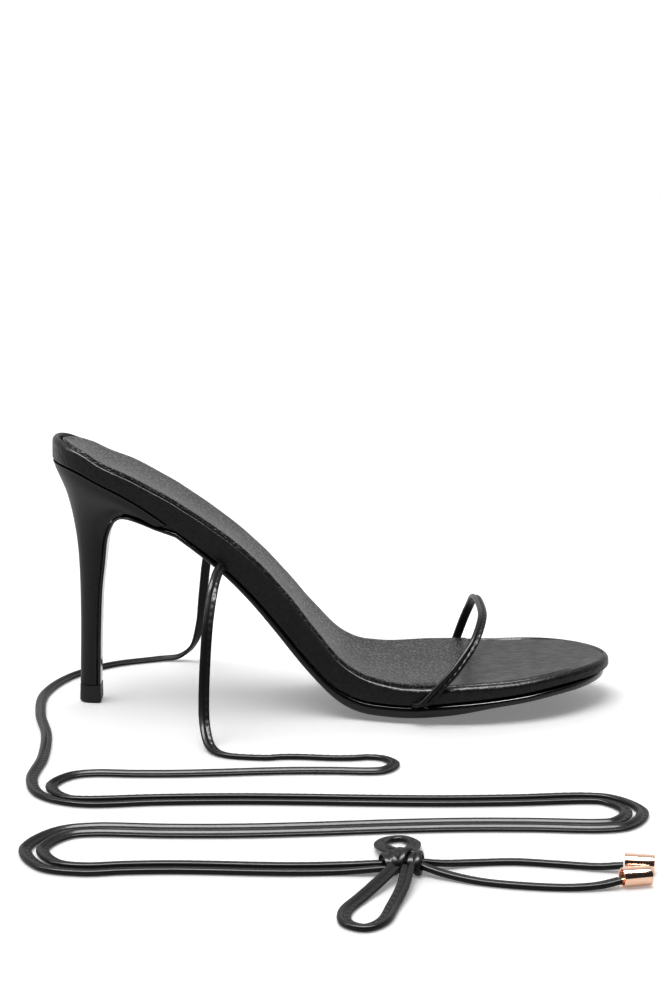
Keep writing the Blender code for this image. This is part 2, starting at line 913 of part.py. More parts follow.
def cord(name, rows, segments, collection, material):
    line = bpy.data.curves.new(name, "CURVE")
    line.dimensions = "3D"
    line.bevel_depth = tie_diameter / 2
    line.bevel_resolution = 2
    line.use_fill_caps = True
    run = line.splines.new("POLY")
    points = smooth_route(rows, round(segments))
    run.points.add(len(points) - 1)
    for place, point in zip(run.points, points):
        place.co = (*point, 1.0)
    line.materials.append(material)
    item = bpy.data.objects.new(name, line)
    collection.objects.link(item)
    return points


def bow_knot(collection, material):
    bpy.ops.mesh.primitive_uv_sphere_add(segments=20, ring_count=12, radius=1.0)
    item = bpy.context.object
    item.name = "bow_knot"
    item.data.name = "bow_knot"
    half = Vector((knot_length, knot_width, knot_height)) / 2
    for vertex in item.data.vertices:
        vertex.co = [a * b for a, b in zip(vertex.co, half)]
    place = Vector((knot_place["x"], knot_place["y"])) * millimetre
    item.location = (place.x, place.y, half.z + floor_clear)
    item.data.materials.append(material)
    item.data.shade_smooth()
    move_to(item, collection)
    return item


def metal_tip(name, line, collection, material):
    """A turned metal end on the last point of a tie, lying on the floor."""
    end = line[-1].copy()
    run = end - line[-2]
    run.z = 0
    run.normalize()
    bpy.ops.mesh.primitive_cylinder_add(vertices=28, radius=tip_diameter / 2, depth=tip_length)
    item = bpy.context.object
    item.name = name
    item.data.name = name
    centre = end + run * (tip_length / 2 + tip_gap)
    item.location = (centre.x, centre.y, tip_diameter / 2 + floor_clear)
    item.rotation_mode = "QUATERNION"
    item.rotation_quaternion = run.to_track_quat("Z", "Y")
    edge = item.modifiers.new("edge", "BEVEL")
    edge.width = tip_edge
    edge.segments = 2
    edge.limit_method = "ANGLE"
    item.data.materials.append(material)
    item.data.shade_smooth()
    item.data.set_sharp_from_angle(angle=math.radians(40))
    move_to(item, collection)
    return item


def move_to(item, collection):
    for owner in list(item.users_collection):
        owner.objects.unlink(item)
    collection.objects.link(item)


def collection_named(name):
    collection = bpy.data.collections.new(name)
    bpy.context.scene.collection.children.link(collection)
    return collection


def main():
    for item in list(bpy.data.objects):
        bpy.data.objects.remove(item)
    parts = collection_named("lace_up_heeled_sandal")
    cutters = collection_named("cutters")

    smooth_leather = principled("smooth_leather", (0.012, 0.012, 0.013), 0.42, coat=0.2)
    heel_leather = principled("heel_leather", (0.014, 0.014, 0.015), 0.38, coat=0.25)
    grained_leather = principled("grained_leather", (0.055, 0.055, 0.058), 0.6)
    sole_black = principled("sole_black", (0.008, 0.008, 0.009), 0.16, coat=0.5)
    tip_rubber = principled("tip_rubber", (0.012, 0.012, 0.012), 0.5)
    strap_leather = principled("strap_leather", (0.013, 0.013, 0.014), 0.4, coat=0.2)
    rose_gold = principled("rose_gold", (0.80, 0.50, 0.36), 0.18, metallic=1.0)

    recess = sock_recess(cutters)
    pockets = strap_pockets(cutters)
    for cutter in (recess, pockets):
        cutter.hide_render = True
        cutter.display_type = "WIRE"
    outsole(parts, sole_black)
    heel(parts, heel_leather)
    heel_tip(parts, tip_rubber)
    footbed(parts, (recess, pockets), smooth_leather)
    insole(parts, grained_leather)
    toe_strap(parts, strap_leather)

    outer_rows = outer_fall + lane_rows(outer_lane_start, outer_lanes, 1)
    inner_rows = inner_fall + lane_rows(inner_lane_start, inner_lanes, -1)
    cord("tie_outer", outer_rows, tie_segments, parts, strap_leather)
    cord("tie_inner", inner_rows, tie_segments, parts, strap_leather)
    cord("bow_loop_short", short_loop_rows, loop_segments["short"], parts, strap_leather)
    cord("bow_loop_long", long_loop_rows, loop_segments["long"], parts, strap_leather)
    bow_knot(parts, strap_leather)
    for side, rows in (("outer", outer_end_rows), ("inner", inner_end_rows)):
        line = cord("tie_end_" + side, rows, end_segments, parts, strap_leather)
        metal_tip("tip_" + side, line, parts, rose_gold)


main()
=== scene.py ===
# Dresses the lace up heeled sandal: leather, sock, stitching, folded ties and polished metal ends.
import json
import math

import bmesh
import bpy
from mathutils import Vector
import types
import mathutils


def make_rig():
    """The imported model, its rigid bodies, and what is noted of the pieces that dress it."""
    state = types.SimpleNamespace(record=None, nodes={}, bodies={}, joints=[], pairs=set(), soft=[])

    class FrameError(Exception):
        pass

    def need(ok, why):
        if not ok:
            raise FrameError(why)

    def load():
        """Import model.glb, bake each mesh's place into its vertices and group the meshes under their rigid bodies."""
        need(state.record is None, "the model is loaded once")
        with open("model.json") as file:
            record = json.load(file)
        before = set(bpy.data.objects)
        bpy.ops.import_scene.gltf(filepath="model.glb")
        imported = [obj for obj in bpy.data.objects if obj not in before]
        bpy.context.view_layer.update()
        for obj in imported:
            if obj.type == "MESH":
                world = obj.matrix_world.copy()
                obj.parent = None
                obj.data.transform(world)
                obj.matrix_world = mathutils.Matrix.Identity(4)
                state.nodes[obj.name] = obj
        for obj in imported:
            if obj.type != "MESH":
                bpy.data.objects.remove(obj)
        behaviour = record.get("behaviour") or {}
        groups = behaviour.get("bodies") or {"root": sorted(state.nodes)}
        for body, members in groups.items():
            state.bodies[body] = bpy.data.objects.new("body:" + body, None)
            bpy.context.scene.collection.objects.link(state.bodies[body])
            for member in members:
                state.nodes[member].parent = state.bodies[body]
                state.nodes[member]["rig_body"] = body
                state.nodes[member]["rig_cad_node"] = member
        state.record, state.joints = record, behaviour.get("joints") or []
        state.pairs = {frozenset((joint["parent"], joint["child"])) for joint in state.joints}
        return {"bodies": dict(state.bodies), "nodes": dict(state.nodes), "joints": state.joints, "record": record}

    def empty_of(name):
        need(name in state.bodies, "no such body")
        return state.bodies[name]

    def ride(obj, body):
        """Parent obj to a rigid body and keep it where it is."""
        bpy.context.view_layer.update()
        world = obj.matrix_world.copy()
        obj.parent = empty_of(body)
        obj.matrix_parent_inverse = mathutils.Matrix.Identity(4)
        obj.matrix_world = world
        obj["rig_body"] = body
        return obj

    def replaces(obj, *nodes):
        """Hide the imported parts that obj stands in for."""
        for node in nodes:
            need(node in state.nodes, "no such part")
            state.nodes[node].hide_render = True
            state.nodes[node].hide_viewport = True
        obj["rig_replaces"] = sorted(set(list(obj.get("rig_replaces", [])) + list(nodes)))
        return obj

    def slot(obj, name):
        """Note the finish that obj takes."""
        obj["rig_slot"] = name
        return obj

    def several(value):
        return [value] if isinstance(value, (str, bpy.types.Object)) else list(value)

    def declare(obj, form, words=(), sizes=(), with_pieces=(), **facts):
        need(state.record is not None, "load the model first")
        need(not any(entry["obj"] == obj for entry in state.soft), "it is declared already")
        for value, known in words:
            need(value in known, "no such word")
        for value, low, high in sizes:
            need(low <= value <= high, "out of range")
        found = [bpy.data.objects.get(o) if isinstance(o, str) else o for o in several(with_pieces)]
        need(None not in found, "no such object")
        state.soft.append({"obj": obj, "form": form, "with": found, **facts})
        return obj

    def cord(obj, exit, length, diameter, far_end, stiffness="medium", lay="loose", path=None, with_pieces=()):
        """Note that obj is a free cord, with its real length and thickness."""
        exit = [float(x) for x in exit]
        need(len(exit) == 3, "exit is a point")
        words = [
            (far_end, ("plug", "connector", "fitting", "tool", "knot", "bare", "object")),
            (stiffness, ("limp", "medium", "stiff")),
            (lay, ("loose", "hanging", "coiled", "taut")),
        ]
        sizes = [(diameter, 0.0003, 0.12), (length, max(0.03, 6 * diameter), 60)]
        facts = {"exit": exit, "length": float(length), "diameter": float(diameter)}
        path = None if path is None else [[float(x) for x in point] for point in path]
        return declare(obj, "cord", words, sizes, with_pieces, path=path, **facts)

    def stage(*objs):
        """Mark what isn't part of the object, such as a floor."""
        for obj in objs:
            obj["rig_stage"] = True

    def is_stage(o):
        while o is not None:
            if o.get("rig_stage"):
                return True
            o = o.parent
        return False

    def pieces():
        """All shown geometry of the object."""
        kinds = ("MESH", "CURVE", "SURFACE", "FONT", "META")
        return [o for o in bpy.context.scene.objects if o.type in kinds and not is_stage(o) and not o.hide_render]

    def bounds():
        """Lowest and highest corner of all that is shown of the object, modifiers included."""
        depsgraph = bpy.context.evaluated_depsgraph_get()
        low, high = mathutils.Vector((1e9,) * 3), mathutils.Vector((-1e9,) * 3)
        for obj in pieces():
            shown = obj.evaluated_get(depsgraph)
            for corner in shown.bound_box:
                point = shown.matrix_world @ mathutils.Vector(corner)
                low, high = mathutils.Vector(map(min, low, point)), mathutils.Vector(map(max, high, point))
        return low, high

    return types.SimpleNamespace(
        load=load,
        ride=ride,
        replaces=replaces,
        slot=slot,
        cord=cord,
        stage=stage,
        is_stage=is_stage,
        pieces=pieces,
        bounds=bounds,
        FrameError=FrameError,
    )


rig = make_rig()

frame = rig.load()
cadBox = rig.bounds()
nodes = frame["nodes"]
mm = 0.001

# The sandal's own sizes, the same as in its solids
shoe = {
    "length": 0.221, "heelHeight": 0.0976, "toeSpring": 0.0098, "crown": 0.0036, "gap": 0.0003,
    "widths": {"seat": 0.051, "waist": 0.0455, "ball": 0.0785, "toe": 0.061},
    "outsole": {"waist": 0.0018, "ball": 0.0030, "toe": 0.0024},
    "footbed": {"seat": 0.0067, "shank": 0.0092, "ball": 0.0068, "toe": 0.0046},
    "dish": 0.0016, "dishToe": 0.0003, "innerRise": 0.0014, "toeRow": 13,
    "lipReach": 0.0486, "tipHeight": 0.0070,
    # where things fade in and out, as shares of the length
    "dishFades": (0.66, 0.92), "riseIn": (0.42, 0.51), "riseOut": (0.62, 0.76),
    "backLow": 0.0009, "lowIn": (0.0, 0.045), "lowOut": (0.05, 0.13),
}
outlineRows = [
    ("along", "size", "across"),
    (0.000, "seat", 0.00),
    (0.032, "seat", -0.345),
    (0.110, "seat", -0.490),
    (0.215, "seat", -0.497),
    (0.325, "waist", -0.540),
    (0.430, "waist", -0.560),
    (0.520, "ball", -0.382),
    (0.600, "ball", -0.450),
    (0.685, "ball", -0.493),
    (0.775, "ball", -0.478),
    (0.855, "toe", -0.530),
    (0.925, "toe", -0.375),
    (0.978, "toe", -0.165),
    (1.000, "toe", 0.075),
    (0.984, "toe", 0.295),
    (0.938, "toe", 0.475),
    (0.870, "ball", 0.455),
    (0.790, "ball", 0.492),
    (0.710, "ball", 0.490),
    (0.630, "ball", 0.450),
    (0.545, "ball", 0.372),
    (0.450, "waist", 0.500),
    (0.345, "waist", 0.445),
    (0.235, "seat", 0.455),
    (0.115, "seat", 0.485),
    (0.033, "seat", 0.345),
]
profileRows = [
    ("along", "rise", "spring", "crown"),
    (0.000, 1.000, 0.00, 0.00),
    (0.048, 0.972, 0.00, 0.00),
    (0.090, 0.924, 0.00, 0.00),
    (0.134, 0.876, 0.00, 0.00),
    (0.182, 0.806, 0.00, 0.00),
    (0.228, 0.726, 0.00, 0.00),
    (0.274, 0.644, 0.00, 0.05),
    (0.319, 0.553, 0.00, 0.15),
    (0.364, 0.442, 0.00, 0.30),
    (0.410, 0.310, 0.00, 0.50),
    (0.455, 0.176, 0.00, 0.75),
    (0.500, 0.067, 0.00, 0.95),
    (0.545, 0.013, 0.00, 1.00),
    (0.590, 0.001, 0.00, 1.00),
    (0.636, 0.000, 0.00, 1.00),
    (0.700, 0.000, 0.13, 0.98),
    (0.765, 0.000, 0.28, 0.90),
    (0.830, 0.000, 0.45, 0.75),
    (0.905, 0.000, 0.71, 0.45),
    (1.000, 0.000, 0.95, 0.00),
]
layerRows = [
    ("along", "footbed size", "footbed", "outsole size", "outsole"),
    (0.000, "seat", 1.42, "waist", 0.80),
    (0.040, "seat", 1.18, "waist", 0.80),
    (0.090, "seat", 1.00, "waist", 0.80),
    (0.182, "seat", 1.07, "waist", 0.80),
    (0.228, "shank", 0.91, "waist", 0.85),
    (0.274, "shank", 0.97, "waist", 0.95),
    (0.364, "shank", 1.00, "waist", 1.15),
    (0.455, "shank", 1.02, "ball", 0.88),
    (0.545, "shank", 0.96, "ball", 1.00),
    (0.610, "ball", 1.06, "ball", 1.00),
    (0.700, "ball", 0.95, "ball", 0.95),
    (0.830, "toe", 1.12, "toe", 1.05),
    (1.000, "toe", 1.00, "toe", 1.00),
]
strapRows = [
    ("turn", "along"),
    (0, 0.6640),
    (10, 0.6860),
    (20, 0.7070),
    (30, 0.7235),
    (45, 0.7440),
    (60, 0.7570),
    (75, 0.7660),
    (90, 0.7700),
    (105, 0.7695),
    (120, 0.7690),
    (135, 0.7670),
    (150, 0.7600),
    (160, 0.7540),
    (170, 0.7475),
    (180, 0.7400),
]
breastRows = [
    ("place", "height", "half width"),
    (0.854, 0.743, 0.455),
    (0.728, 0.766, 0.425),
    (0.605, 0.775, 0.340),
    (0.529, 0.755, 0.235),
    (0.477, 0.708, 0.165),
    (0.451, 0.658, 0.136),
    (0.432, 0.569, 0.121),
    (0.407, 0.454, 0.106),
    (0.395, 0.297, 0.095),
    (0.389, 0.150, 0.090),
    (0.387, 0.075, 0.088),
]
outerFall = [
    ("x", "y", "z"),
    (-42, -25.3, 58.6),
    (-42.6, -31, 59.6),
    (-44, -38, 58),
    (-45.5, -45, 52.5),
    (-46.8, -50.5, 43),
    (-47.6, -54.5, 31),
    (-48, -58, 18),
    (-47.5, -62.5, 8),
    (-45, -69.5, 2.6),
    (-39, -76, 1.6),
]
innerFall = [
    ("x", "y", "z"),
    (-46, 22.3, 62.2),
    (-46.6, 28, 63.1),
    (-48, 35, 61.5),
    (-50, 42, 56),
    (-52, 47.5, 46),
    (-53.5, 51.5, 33),
    (-55, 55, 19),
    (-58, 58.5, 8.5),
    (-64, 61, 2.8),
    (-74, 60.5, 1.6),
    (-93, 51, 1.6),
    (-108, 32, 1.6),
    (-115, 6, 1.6),
    (-113, -22, 1.6),
    (-107, -50, 1.6),
    (-104.5, -78, 1.6),
    (-105, -102, 1.6),
    (-99, -119, 1.6),
]
outerLanes = [
    ("y", "turn", "sway"),
    (-79, 12, 1.0),
    (-96, -84, 1.2),
    (-122.5, 82, 1.8),
    (-155.5, -78, 2.0),
    (-183.5, 10.5, 1.2),
]
innerLanes = [
    ("y", "turn", "sway"),
    (-127.8, 82, 1.8),
    (-150.2, -78, 2.0),
    (-188.8, 10.5, 1.2),
]
outerLaneStart = -26
innerLaneStart = -84
laneSteps = 7
foldTurns = (40, 90, 140)
shortLoopRows = [
    ("x", "y", "z"),
    (15.2, -183.2, 4.4),
    (12.6, -177, 3.5),
    (11.6, -170, 2.4),
    (14, -164, 1.7),
    (18.8, -162.6, 1.7),
    (22, -167.5, 2.1),
    (21.6, -175, 3.3),
    (19.6, -183.2, 4.6),
]
longLoopRows = [
    ("x", "y", "z"),
    (14.6, -194.2, 4.2),
    (10.4, -201, 3.1),
    (4.4, -210.5, 1.8),
    (-0.4, -220, 1.6),
    (-0.6, -228, 1.6),
    (4.6, -231.6, 1.6),
    (9.8, -227, 1.6),
    (13, -217, 1.8),
    (16.4, -206, 3),
    (18.8, -194.2, 4.5),
]
outerEndRows = [
    ("x", "y", "z"),
    (23.5, -187.2, 3.7),
    (30, -185.5, 2.3),
    (40, -183.2, 1.6),
    (52, -182.8, 1.6),
    (64, -185, 1.6),
    (75, -188, 1.9),
    (83, -189.8, 2.8),
]
innerEndRows = [
    ("x", "y", "z"),
    (23.5, -190.2, 3.7),
    (30, -194, 2.2),
    (40, -198.6, 1.6),
    (52, -202, 1.6),
    (64, -203.6, 1.6),
    (73, -203.2, 1.9),
    (80, -201.9, 2.8),
]
knotPlace = {"x": 17.2, "y": -188.6, "z": 3.2}
knotEntry = {"aside": 2.7, "up": 2.7}


def smoothRise(value, start, end):
    t = min(max((value - start) / (end - start), 0.0), 1.0)
    return t * t * (3 - 2 * t)


def column(rows, name):
    # one named column of a table
    at = rows[0].index(name)
    return [row[at] for row in rows[1:]]


def through(numbers, at):
    # a smooth curve through evenly spaced numbers
    last = len(numbers) - 1
    i = min(max(int(math.floor(at)), 0), last - 1)
    t = at - i
    before = numbers[i - 1] if i > 0 else 2 * numbers[0] - numbers[1]
    after = numbers[i + 2] if i + 2 <= last else 2 * numbers[last] - numbers[last - 1]
    a, b = numbers[i], numbers[i + 1]
    bend = 2 * before - 5 * a + 4 * b - after
    twist = -before + 3 * a - 3 * b + after
    return a + 0.5 * t * (b - before + t * (bend + t * twist))


def alongTable(xs, ys, along):
    # a smooth curve through numbers at uneven places
    along = min(max(along, xs[0]), xs[-1])
    i = max(k for k in range(len(xs) - 1) if xs[k] <= along)
    step = xs[i + 1] - xs[i]

    def slope(k):
        low, high = max(k - 1, 0), min(k + 1, len(xs) - 1)
        return (ys[high] - ys[low]) / (xs[high] - xs[low])

    t = (along - xs[i]) / step
    start = (1 + 2 * t) * (1 - t) ** 2 * ys[i] + t * (1 - t) ** 2 * step * slope(i)
    return start + t * t * (3 - 2 * t) * ys[i + 1] + t * t * (t - 1) * step * slope(i + 1)


# The last: outline, joint and top, as in the solids
outlineX = [(a - 0.5) * shoe["length"] for a in column(outlineRows, "along")]
outlineY = [shoe["widths"][k] * a
            for k, a in zip(column(outlineRows, "size"), column(outlineRows, "across"))]
profileAt = column(profileRows, "along")
layerAt = column(layerRows, "along")
profile = {name: column(profileRows, name) for name in ("rise", "spring", "crown")}
layers = {
    name: [shoe[name][size] * part
           for size, part in zip(column(layerRows, name + " size"), column(layerRows, name))]
    for name in ("footbed", "outsole")
}


def share(x):
    # 0 at the heel, 1 at the toe
    return min(max(x / shoe["length"] + 0.5, 0.0), 1.0)


def outlinePoint(side, way, inset=0.0):
    # the outer edge is side -1, the inner one side 1; way goes from heel to toe
    count = len(outlineX)

    def place(w):
        at = w * shoe["toeRow"] if side < 0 else count - w * (count - shoe["toeRow"])
        i = int(math.floor(at))
        near = [(i + k) % count for k in (-1, 0, 1, 2)]
        return Vector((through([outlineX[k] for k in near], 1 + at - i),
                       through([outlineY[k] for k in near], 1 + at - i)))

    step = 0.004
    run = place(way + step) - place(way - step)
    if way <= 0.0 or way >= 1.0:
        inward = Vector((1.0 if way <= 0.0 else -1.0, 0.0))
    else:
        inward = Vector((run.y, -run.x)) * side
        inward.normalize()
    return place(way) + inward * inset


def jointHeight(x, across):
    # the joint between footbed and outsole
    s = share(x)
    base = shoe["outsole"]["ball"] + shoe["gap"]
    rise = alongTable(profileAt, profile["rise"], s) * (shoe["heelHeight"] - base)
    spring = alongTable(profileAt, profile["spring"], s) * shoe["toeSpring"]
    crown = alongTable(profileAt, profile["crown"], s) * shoe["crown"] * across * across
    return base + rise + spring + crown


def layer(name, x):
    # how thick a layer stands, measured upright
    step = 0.003
    rise = jointHeight(x + step, 1) - jointHeight(x - step, 1)
    return alongTable(layerAt, layers[name], share(x)) * math.hypot(rise, 2 * step) / (2 * step)


def footbedTop(x, across):
    s = share(x)
    back = smoothRise(s, *shoe["lowIn"]) * (1 - smoothRise(s, *shoe["lowOut"]))
    low = shoe["backLow"] * max(across, 0.0) * back
    dish = shoe["dish"] + (shoe["dishToe"] - shoe["dish"]) * smoothRise(s, *shoe["dishFades"])
    ball = smoothRise(s, *shoe["riseIn"]) * (1 - smoothRise(s, *shoe["riseOut"]))
    rim = jointHeight(x, 1) + layer("footbed", x)
    return rim - low - dish * (1 - across * across) + shoe["innerRise"] * ball * (1 + across) / 2


def only(item):
    bpy.ops.object.select_all(action="DESELECT")
    item.hide_set(False)
    item.select_set(True)
    bpy.context.view_layer.objects.active = item


def shapedGrid(name, rows, columns, place):
    # a grid primitive, each corner then moved to its place on the shoe
    bpy.ops.object.select_all(action="DESELECT")
    bpy.ops.mesh.primitive_grid_add(x_subdivisions=columns, y_subdivisions=rows, size=1)
    item = bpy.context.object
    item.name = item.data.name = name
    for corner in item.data.vertices:
        j = round((corner.co.x + 0.5) * columns)
        i = round((corner.co.y + 0.5) * rows)
        corner.co = place(i, j)
    only(item)
    bpy.ops.object.mode_set(mode="EDIT")
    bpy.ops.mesh.select_all(action="SELECT")
    bpy.ops.mesh.remove_doubles(threshold=0.00001)
    bpy.ops.mesh.normals_make_consistent(inside=False)
    bpy.ops.object.mode_set(mode="OBJECT")
    return item


def finishPiece(item, slotName, material, replaced, angle):
    only(item)
    bpy.ops.object.shade_smooth_by_angle(angle=math.radians(angle))
    item.data.materials.clear()
    item.data.materials.append(material)
    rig.slot(item, slotName)
    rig.ride(item, "root")
    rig.replaces(item, *replaced)
    return item


def applyModifier(item, kind, **settings):
    only(item)
    made = item.modifiers.new(kind.lower(), kind)
    for key, value in settings.items():
        setattr(made, key, value)
    bpy.ops.object.modifier_apply(modifier=made.name)


rounding = {"width": 0.0003, "segments": 2, "sharp": 38, "merge": 0.000005, "flat": 50, "square": 60}


def copyNode(node, name, levels):
    # a merged copy of a solid, its sharp edges rounded and its faces smoothed
    item = nodes[node].copy()
    item.data = nodes[node].data.copy()
    item.name = item.data.name = name
    item.parent = None
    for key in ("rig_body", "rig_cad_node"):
        if key in item:
            del item[key]
    bpy.context.scene.collection.objects.link(item)
    only(item)
    bpy.ops.object.mode_set(mode="EDIT")
    bpy.ops.mesh.select_all(action="SELECT")
    bpy.ops.mesh.customdata_custom_splitnormals_clear()
    bpy.ops.mesh.remove_doubles(threshold=rounding["merge"])
    bpy.ops.mesh.tris_convert_to_quads(face_threshold=math.radians(rounding["flat"]),
                                       shape_threshold=math.radians(rounding["square"]))
    bpy.ops.mesh.select_all(action="DESELECT")
    bpy.ops.object.mode_set(mode="OBJECT")
    applyModifier(item, "BEVEL", width=rounding["width"], segments=rounding["segments"],
                  limit_method="ANGLE", angle_limit=math.radians(rounding["sharp"]))
    applyModifier(item, "SUBSURF", levels=levels, render_levels=levels)
    return item


def newMaterial(name, s):
    made = bpy.data.materials.new(name)
    made.use_nodes = True
    shader = made.node_tree.nodes["Principled BSDF"]
    shader.inputs["Base Color"].default_value = (*s["base"], 1)
    shader.inputs["Roughness"].default_value = s["roughness"]
    shader.inputs["Metallic"].default_value = s.get("metallic", 0.0)
    shader.inputs["Coat Weight"].default_value = s.get("coat", 0.0)
    shader.inputs["Coat Roughness"].default_value = s.get("coatRoughness", 0.2)
    shader.inputs["Specular IOR Level"].default_value = s.get("specular", 0.5)
    return made


def addNode(material, kind, links=None, **settings):
    node = material.node_tree.nodes.new(kind)
    for key, value in settings.items():
        if key in node.inputs:
            node.inputs[key].default_value = value
        else:
            setattr(node, key, value)
    for key, source in (links or {}).items():
        material.node_tree.links.new(source, node.inputs[key])
    return node


def dress(made, s, height, place, ramp, shades):
    # relief and shade from one height, slow patches in the roughness
    shader = made.node_tree.nodes["Principled BSDF"]
    link = made.node_tree.links.new
    slow = addNode(made, "ShaderNodeTexNoise", {"Vector": place}, Scale=s["patch"], Detail=3.0)
    bump = addNode(made, "ShaderNodeBump", {"Height": height}, Strength=s["bump"], Distance=s["relief"])
    link(bump.outputs["Normal"], shader.inputs["Normal"])
    rough = addNode(made, "ShaderNodeMapRange", {"Value": slow.outputs["Fac"]})
    rough.inputs["To Min"].default_value = s["roughness"] - s["vary"]
    rough.inputs["To Max"].default_value = s["roughness"] + s["vary"]
    link(rough.outputs[0], shader.inputs["Roughness"])
    # on the sock the pale end of this ramp is partly painted glints and sheen on the crests
    shade = addNode(made, "ShaderNodeValToRGB", {"Fac": height})
    for k in (0, 1):
        shade.color_ramp.elements[k].position = ramp[k]
        shade.color_ramp.elements[k].color = (*[min(v * shades[k], 1.0) for v in s["base"]], 1)
    link(shade.outputs["Color"], shader.inputs["Base Color"])
    return made


pores = {"finer": 1.7, "share": 0.6, "ramp": (0.25, 0.95), "shades": (0.65, 1.25)}


def leather(name, s):
    # fine pores, the same for smooth leather, rubber and metal
    made = newMaterial(name, s)
    place = addNode(made, "ShaderNodeTexCoord").outputs["Object"]
    cells = addNode(made, "ShaderNodeTexVoronoi", {"Vector": place}, Scale=s["grain"],
                    feature="SMOOTH_F1")
    fine = addNode(made, "ShaderNodeTexNoise", {"Vector": place}, Scale=s["grain"] * pores["finer"],
                   Detail=4.0)
    mixed = addNode(made, "ShaderNodeMath", operation="MULTIPLY_ADD")
    made.node_tree.links.new(fine.outputs["Fac"], mixed.inputs[0])
    mixed.inputs[1].default_value = pores["share"]
    made.node_tree.links.new(cells.outputs["Distance"], mixed.inputs[2])
    return dress(made, s, mixed.outputs[0], place, pores["ramp"], s.get("shades", pores["shades"]))


def grainedLeather(name, s):
    # short strokes across the foot broken up by pebbles; the crests are painted pale, partly the grain's own tone and
    # partly painted glints and sheen
    made = newMaterial(name, s)
    link = made.node_tree.links.new
    place = addNode(made, "ShaderNodeTexCoord").outputs["Object"]
    stretched = addNode(made, "ShaderNodeMapping", {"Vector": place})
    stretched.inputs["Scale"].default_value = s["stretch"]
    where = stretched.outputs["Vector"]
    strokes = addNode(made, "ShaderNodeTexNoise", {"Vector": where}, Scale=s["grain"], Detail=1.5,
                      Distortion=s["wave"])
    cells = addNode(made, "ShaderNodeTexVoronoi", {"Vector": where}, Scale=s["pebble"])
    pebble = addNode(made, "ShaderNodeMath", operation="MULTIPLY")
    link(cells.outputs["Distance"], pebble.inputs[0])
    pebble.inputs[1].default_value = s["pebbleShare"]
    crest = addNode(made, "ShaderNodeMath", operation="SUBTRACT")
    link(strokes.outputs["Fac"], crest.inputs[0])
    link(pebble.outputs[0], crest.inputs[1])
    return dress(made, s, crest.outputs[0], place, s["ramp"], s["shades"])


print("materials")
looks = {
    "wrap": {"base": (0.0045, 0.0045, 0.0056), "roughness": 0.42, "vary": 0.16, "grain": 800,
             "patch": 190, "bump": 1.0, "relief": 0.00022, "specular": 0.26, "coat": 0.20,
             "coatRoughness": 0.22, "shades": (0.2, 2.6)},
    "heel": {"base": (0.0155, 0.0155, 0.0160), "roughness": 0.42, "vary": 0.06, "grain": 1600,
             "patch": 40, "bump": 0.4, "relief": 0.00008, "specular": 0.34, "coat": 0.05},
    "sock": {"base": (0.016, 0.016, 0.0164), "roughness": 0.42, "vary": 0.07, "grain": 1150,
             "pebble": 1300, "pebbleShare": 0.35, "patch": 60, "bump": 1.0, "relief": 0.0005,
             "stretch": (1, 0.40, 1), "specular": 0.40, "coat": 0.05, "coatRoughness": 0.18,
             # the bright end of the sock's shades paints glints and sheen onto the grain's crests, besides their own
             # tone
             "wave": 0.3, "shades": (0.05, 6.5), "ramp": (0.30, 0.48)},
    "band": {"base": (0.005, 0.005, 0.0055), "roughness": 0.46, "vary": 0.08, "grain": 1300,
             "patch": 90, "bump": 0.3, "relief": 0.00008, "specular": 0.22, "coat": 0.22,
             "coatRoughness": 0.12},
    "sole": {"base": (0.004, 0.004, 0.005), "roughness": 0.2, "vary": 0.05, "grain": 700,
             "patch": 70, "bump": 0.06, "relief": 0.00005, "specular": 0.3, "coat": 0.5,
             "coatRoughness": 0.14},
    "tip": {"base": (0.010, 0.010, 0.010), "roughness": 0.5, "vary": 0.05, "grain": 900,
            "patch": 120, "bump": 0.2, "relief": 0.00006},
    "metal": {"base": (0.80, 0.57, 0.45), "roughness": 0.13, "vary": 0.03, "grain": 2500,
              "patch": 300, "bump": 0.02, "relief": 0.000004, "metallic": 1.0,
              "shades": (0.95, 1.02)},
}
wrapLeather = leather("wrapLeather", looks["wrap"])
heelLeather = leather("heelLeather", looks["heel"])
sockLeather = grainedLeather("sockLeather", looks["sock"])
bandLeather = leather("bandLeather", looks["band"])
soleBlack = leather("soleBlack", looks["sole"])
tipRubber = leather("tipRubber", looks["tip"])
roseGold = leather("roseGold", looks["metal"])

print("camera, light and floor")
view = {"distance": 0.7221, "height": 0.2005, "azimuth": -1.19, "pitch": 2.58, "lens": 65.61,
        "shiftY": -0.22}
turn, pitch = math.radians(view["azimuth"]), math.radians(view["pitch"])
forward = Vector((-math.sin(turn), math.cos(turn), 0))
bpy.ops.object.camera_add()
camera = bpy.context.object
camera.location = -forward * view["distance"] + Vector((0, 0, view["height"]))
camera.rotation_mode = "QUATERNION"
camera.rotation_quaternion = (forward - Vector((0, 0, math.tan(pitch)))).to_track_quat("-Z", "Y")
camera.data.lens = view["lens"]
camera.data.sensor_width = 36
camera.data.sensor_fit = "AUTO"
camera.data.shift_y = view["shiftY"]
camera.data.clip_start = 0.01
bpy.context.scene.camera = camera

shown = bpy.context.scene.view_settings
shown.view_transform = "Standard"
shown.look = "None"
studio = {"gamma": 0.80, "white": 1.0, "front": 0.05, "behind": 1.15, "from": -0.25, "to": 0.85}
shown.gamma = studio["gamma"]
world = bpy.data.worlds.new("studio")
bpy.context.scene.world = world
world.use_nodes = True
tree = world.node_tree
tree.nodes.clear()
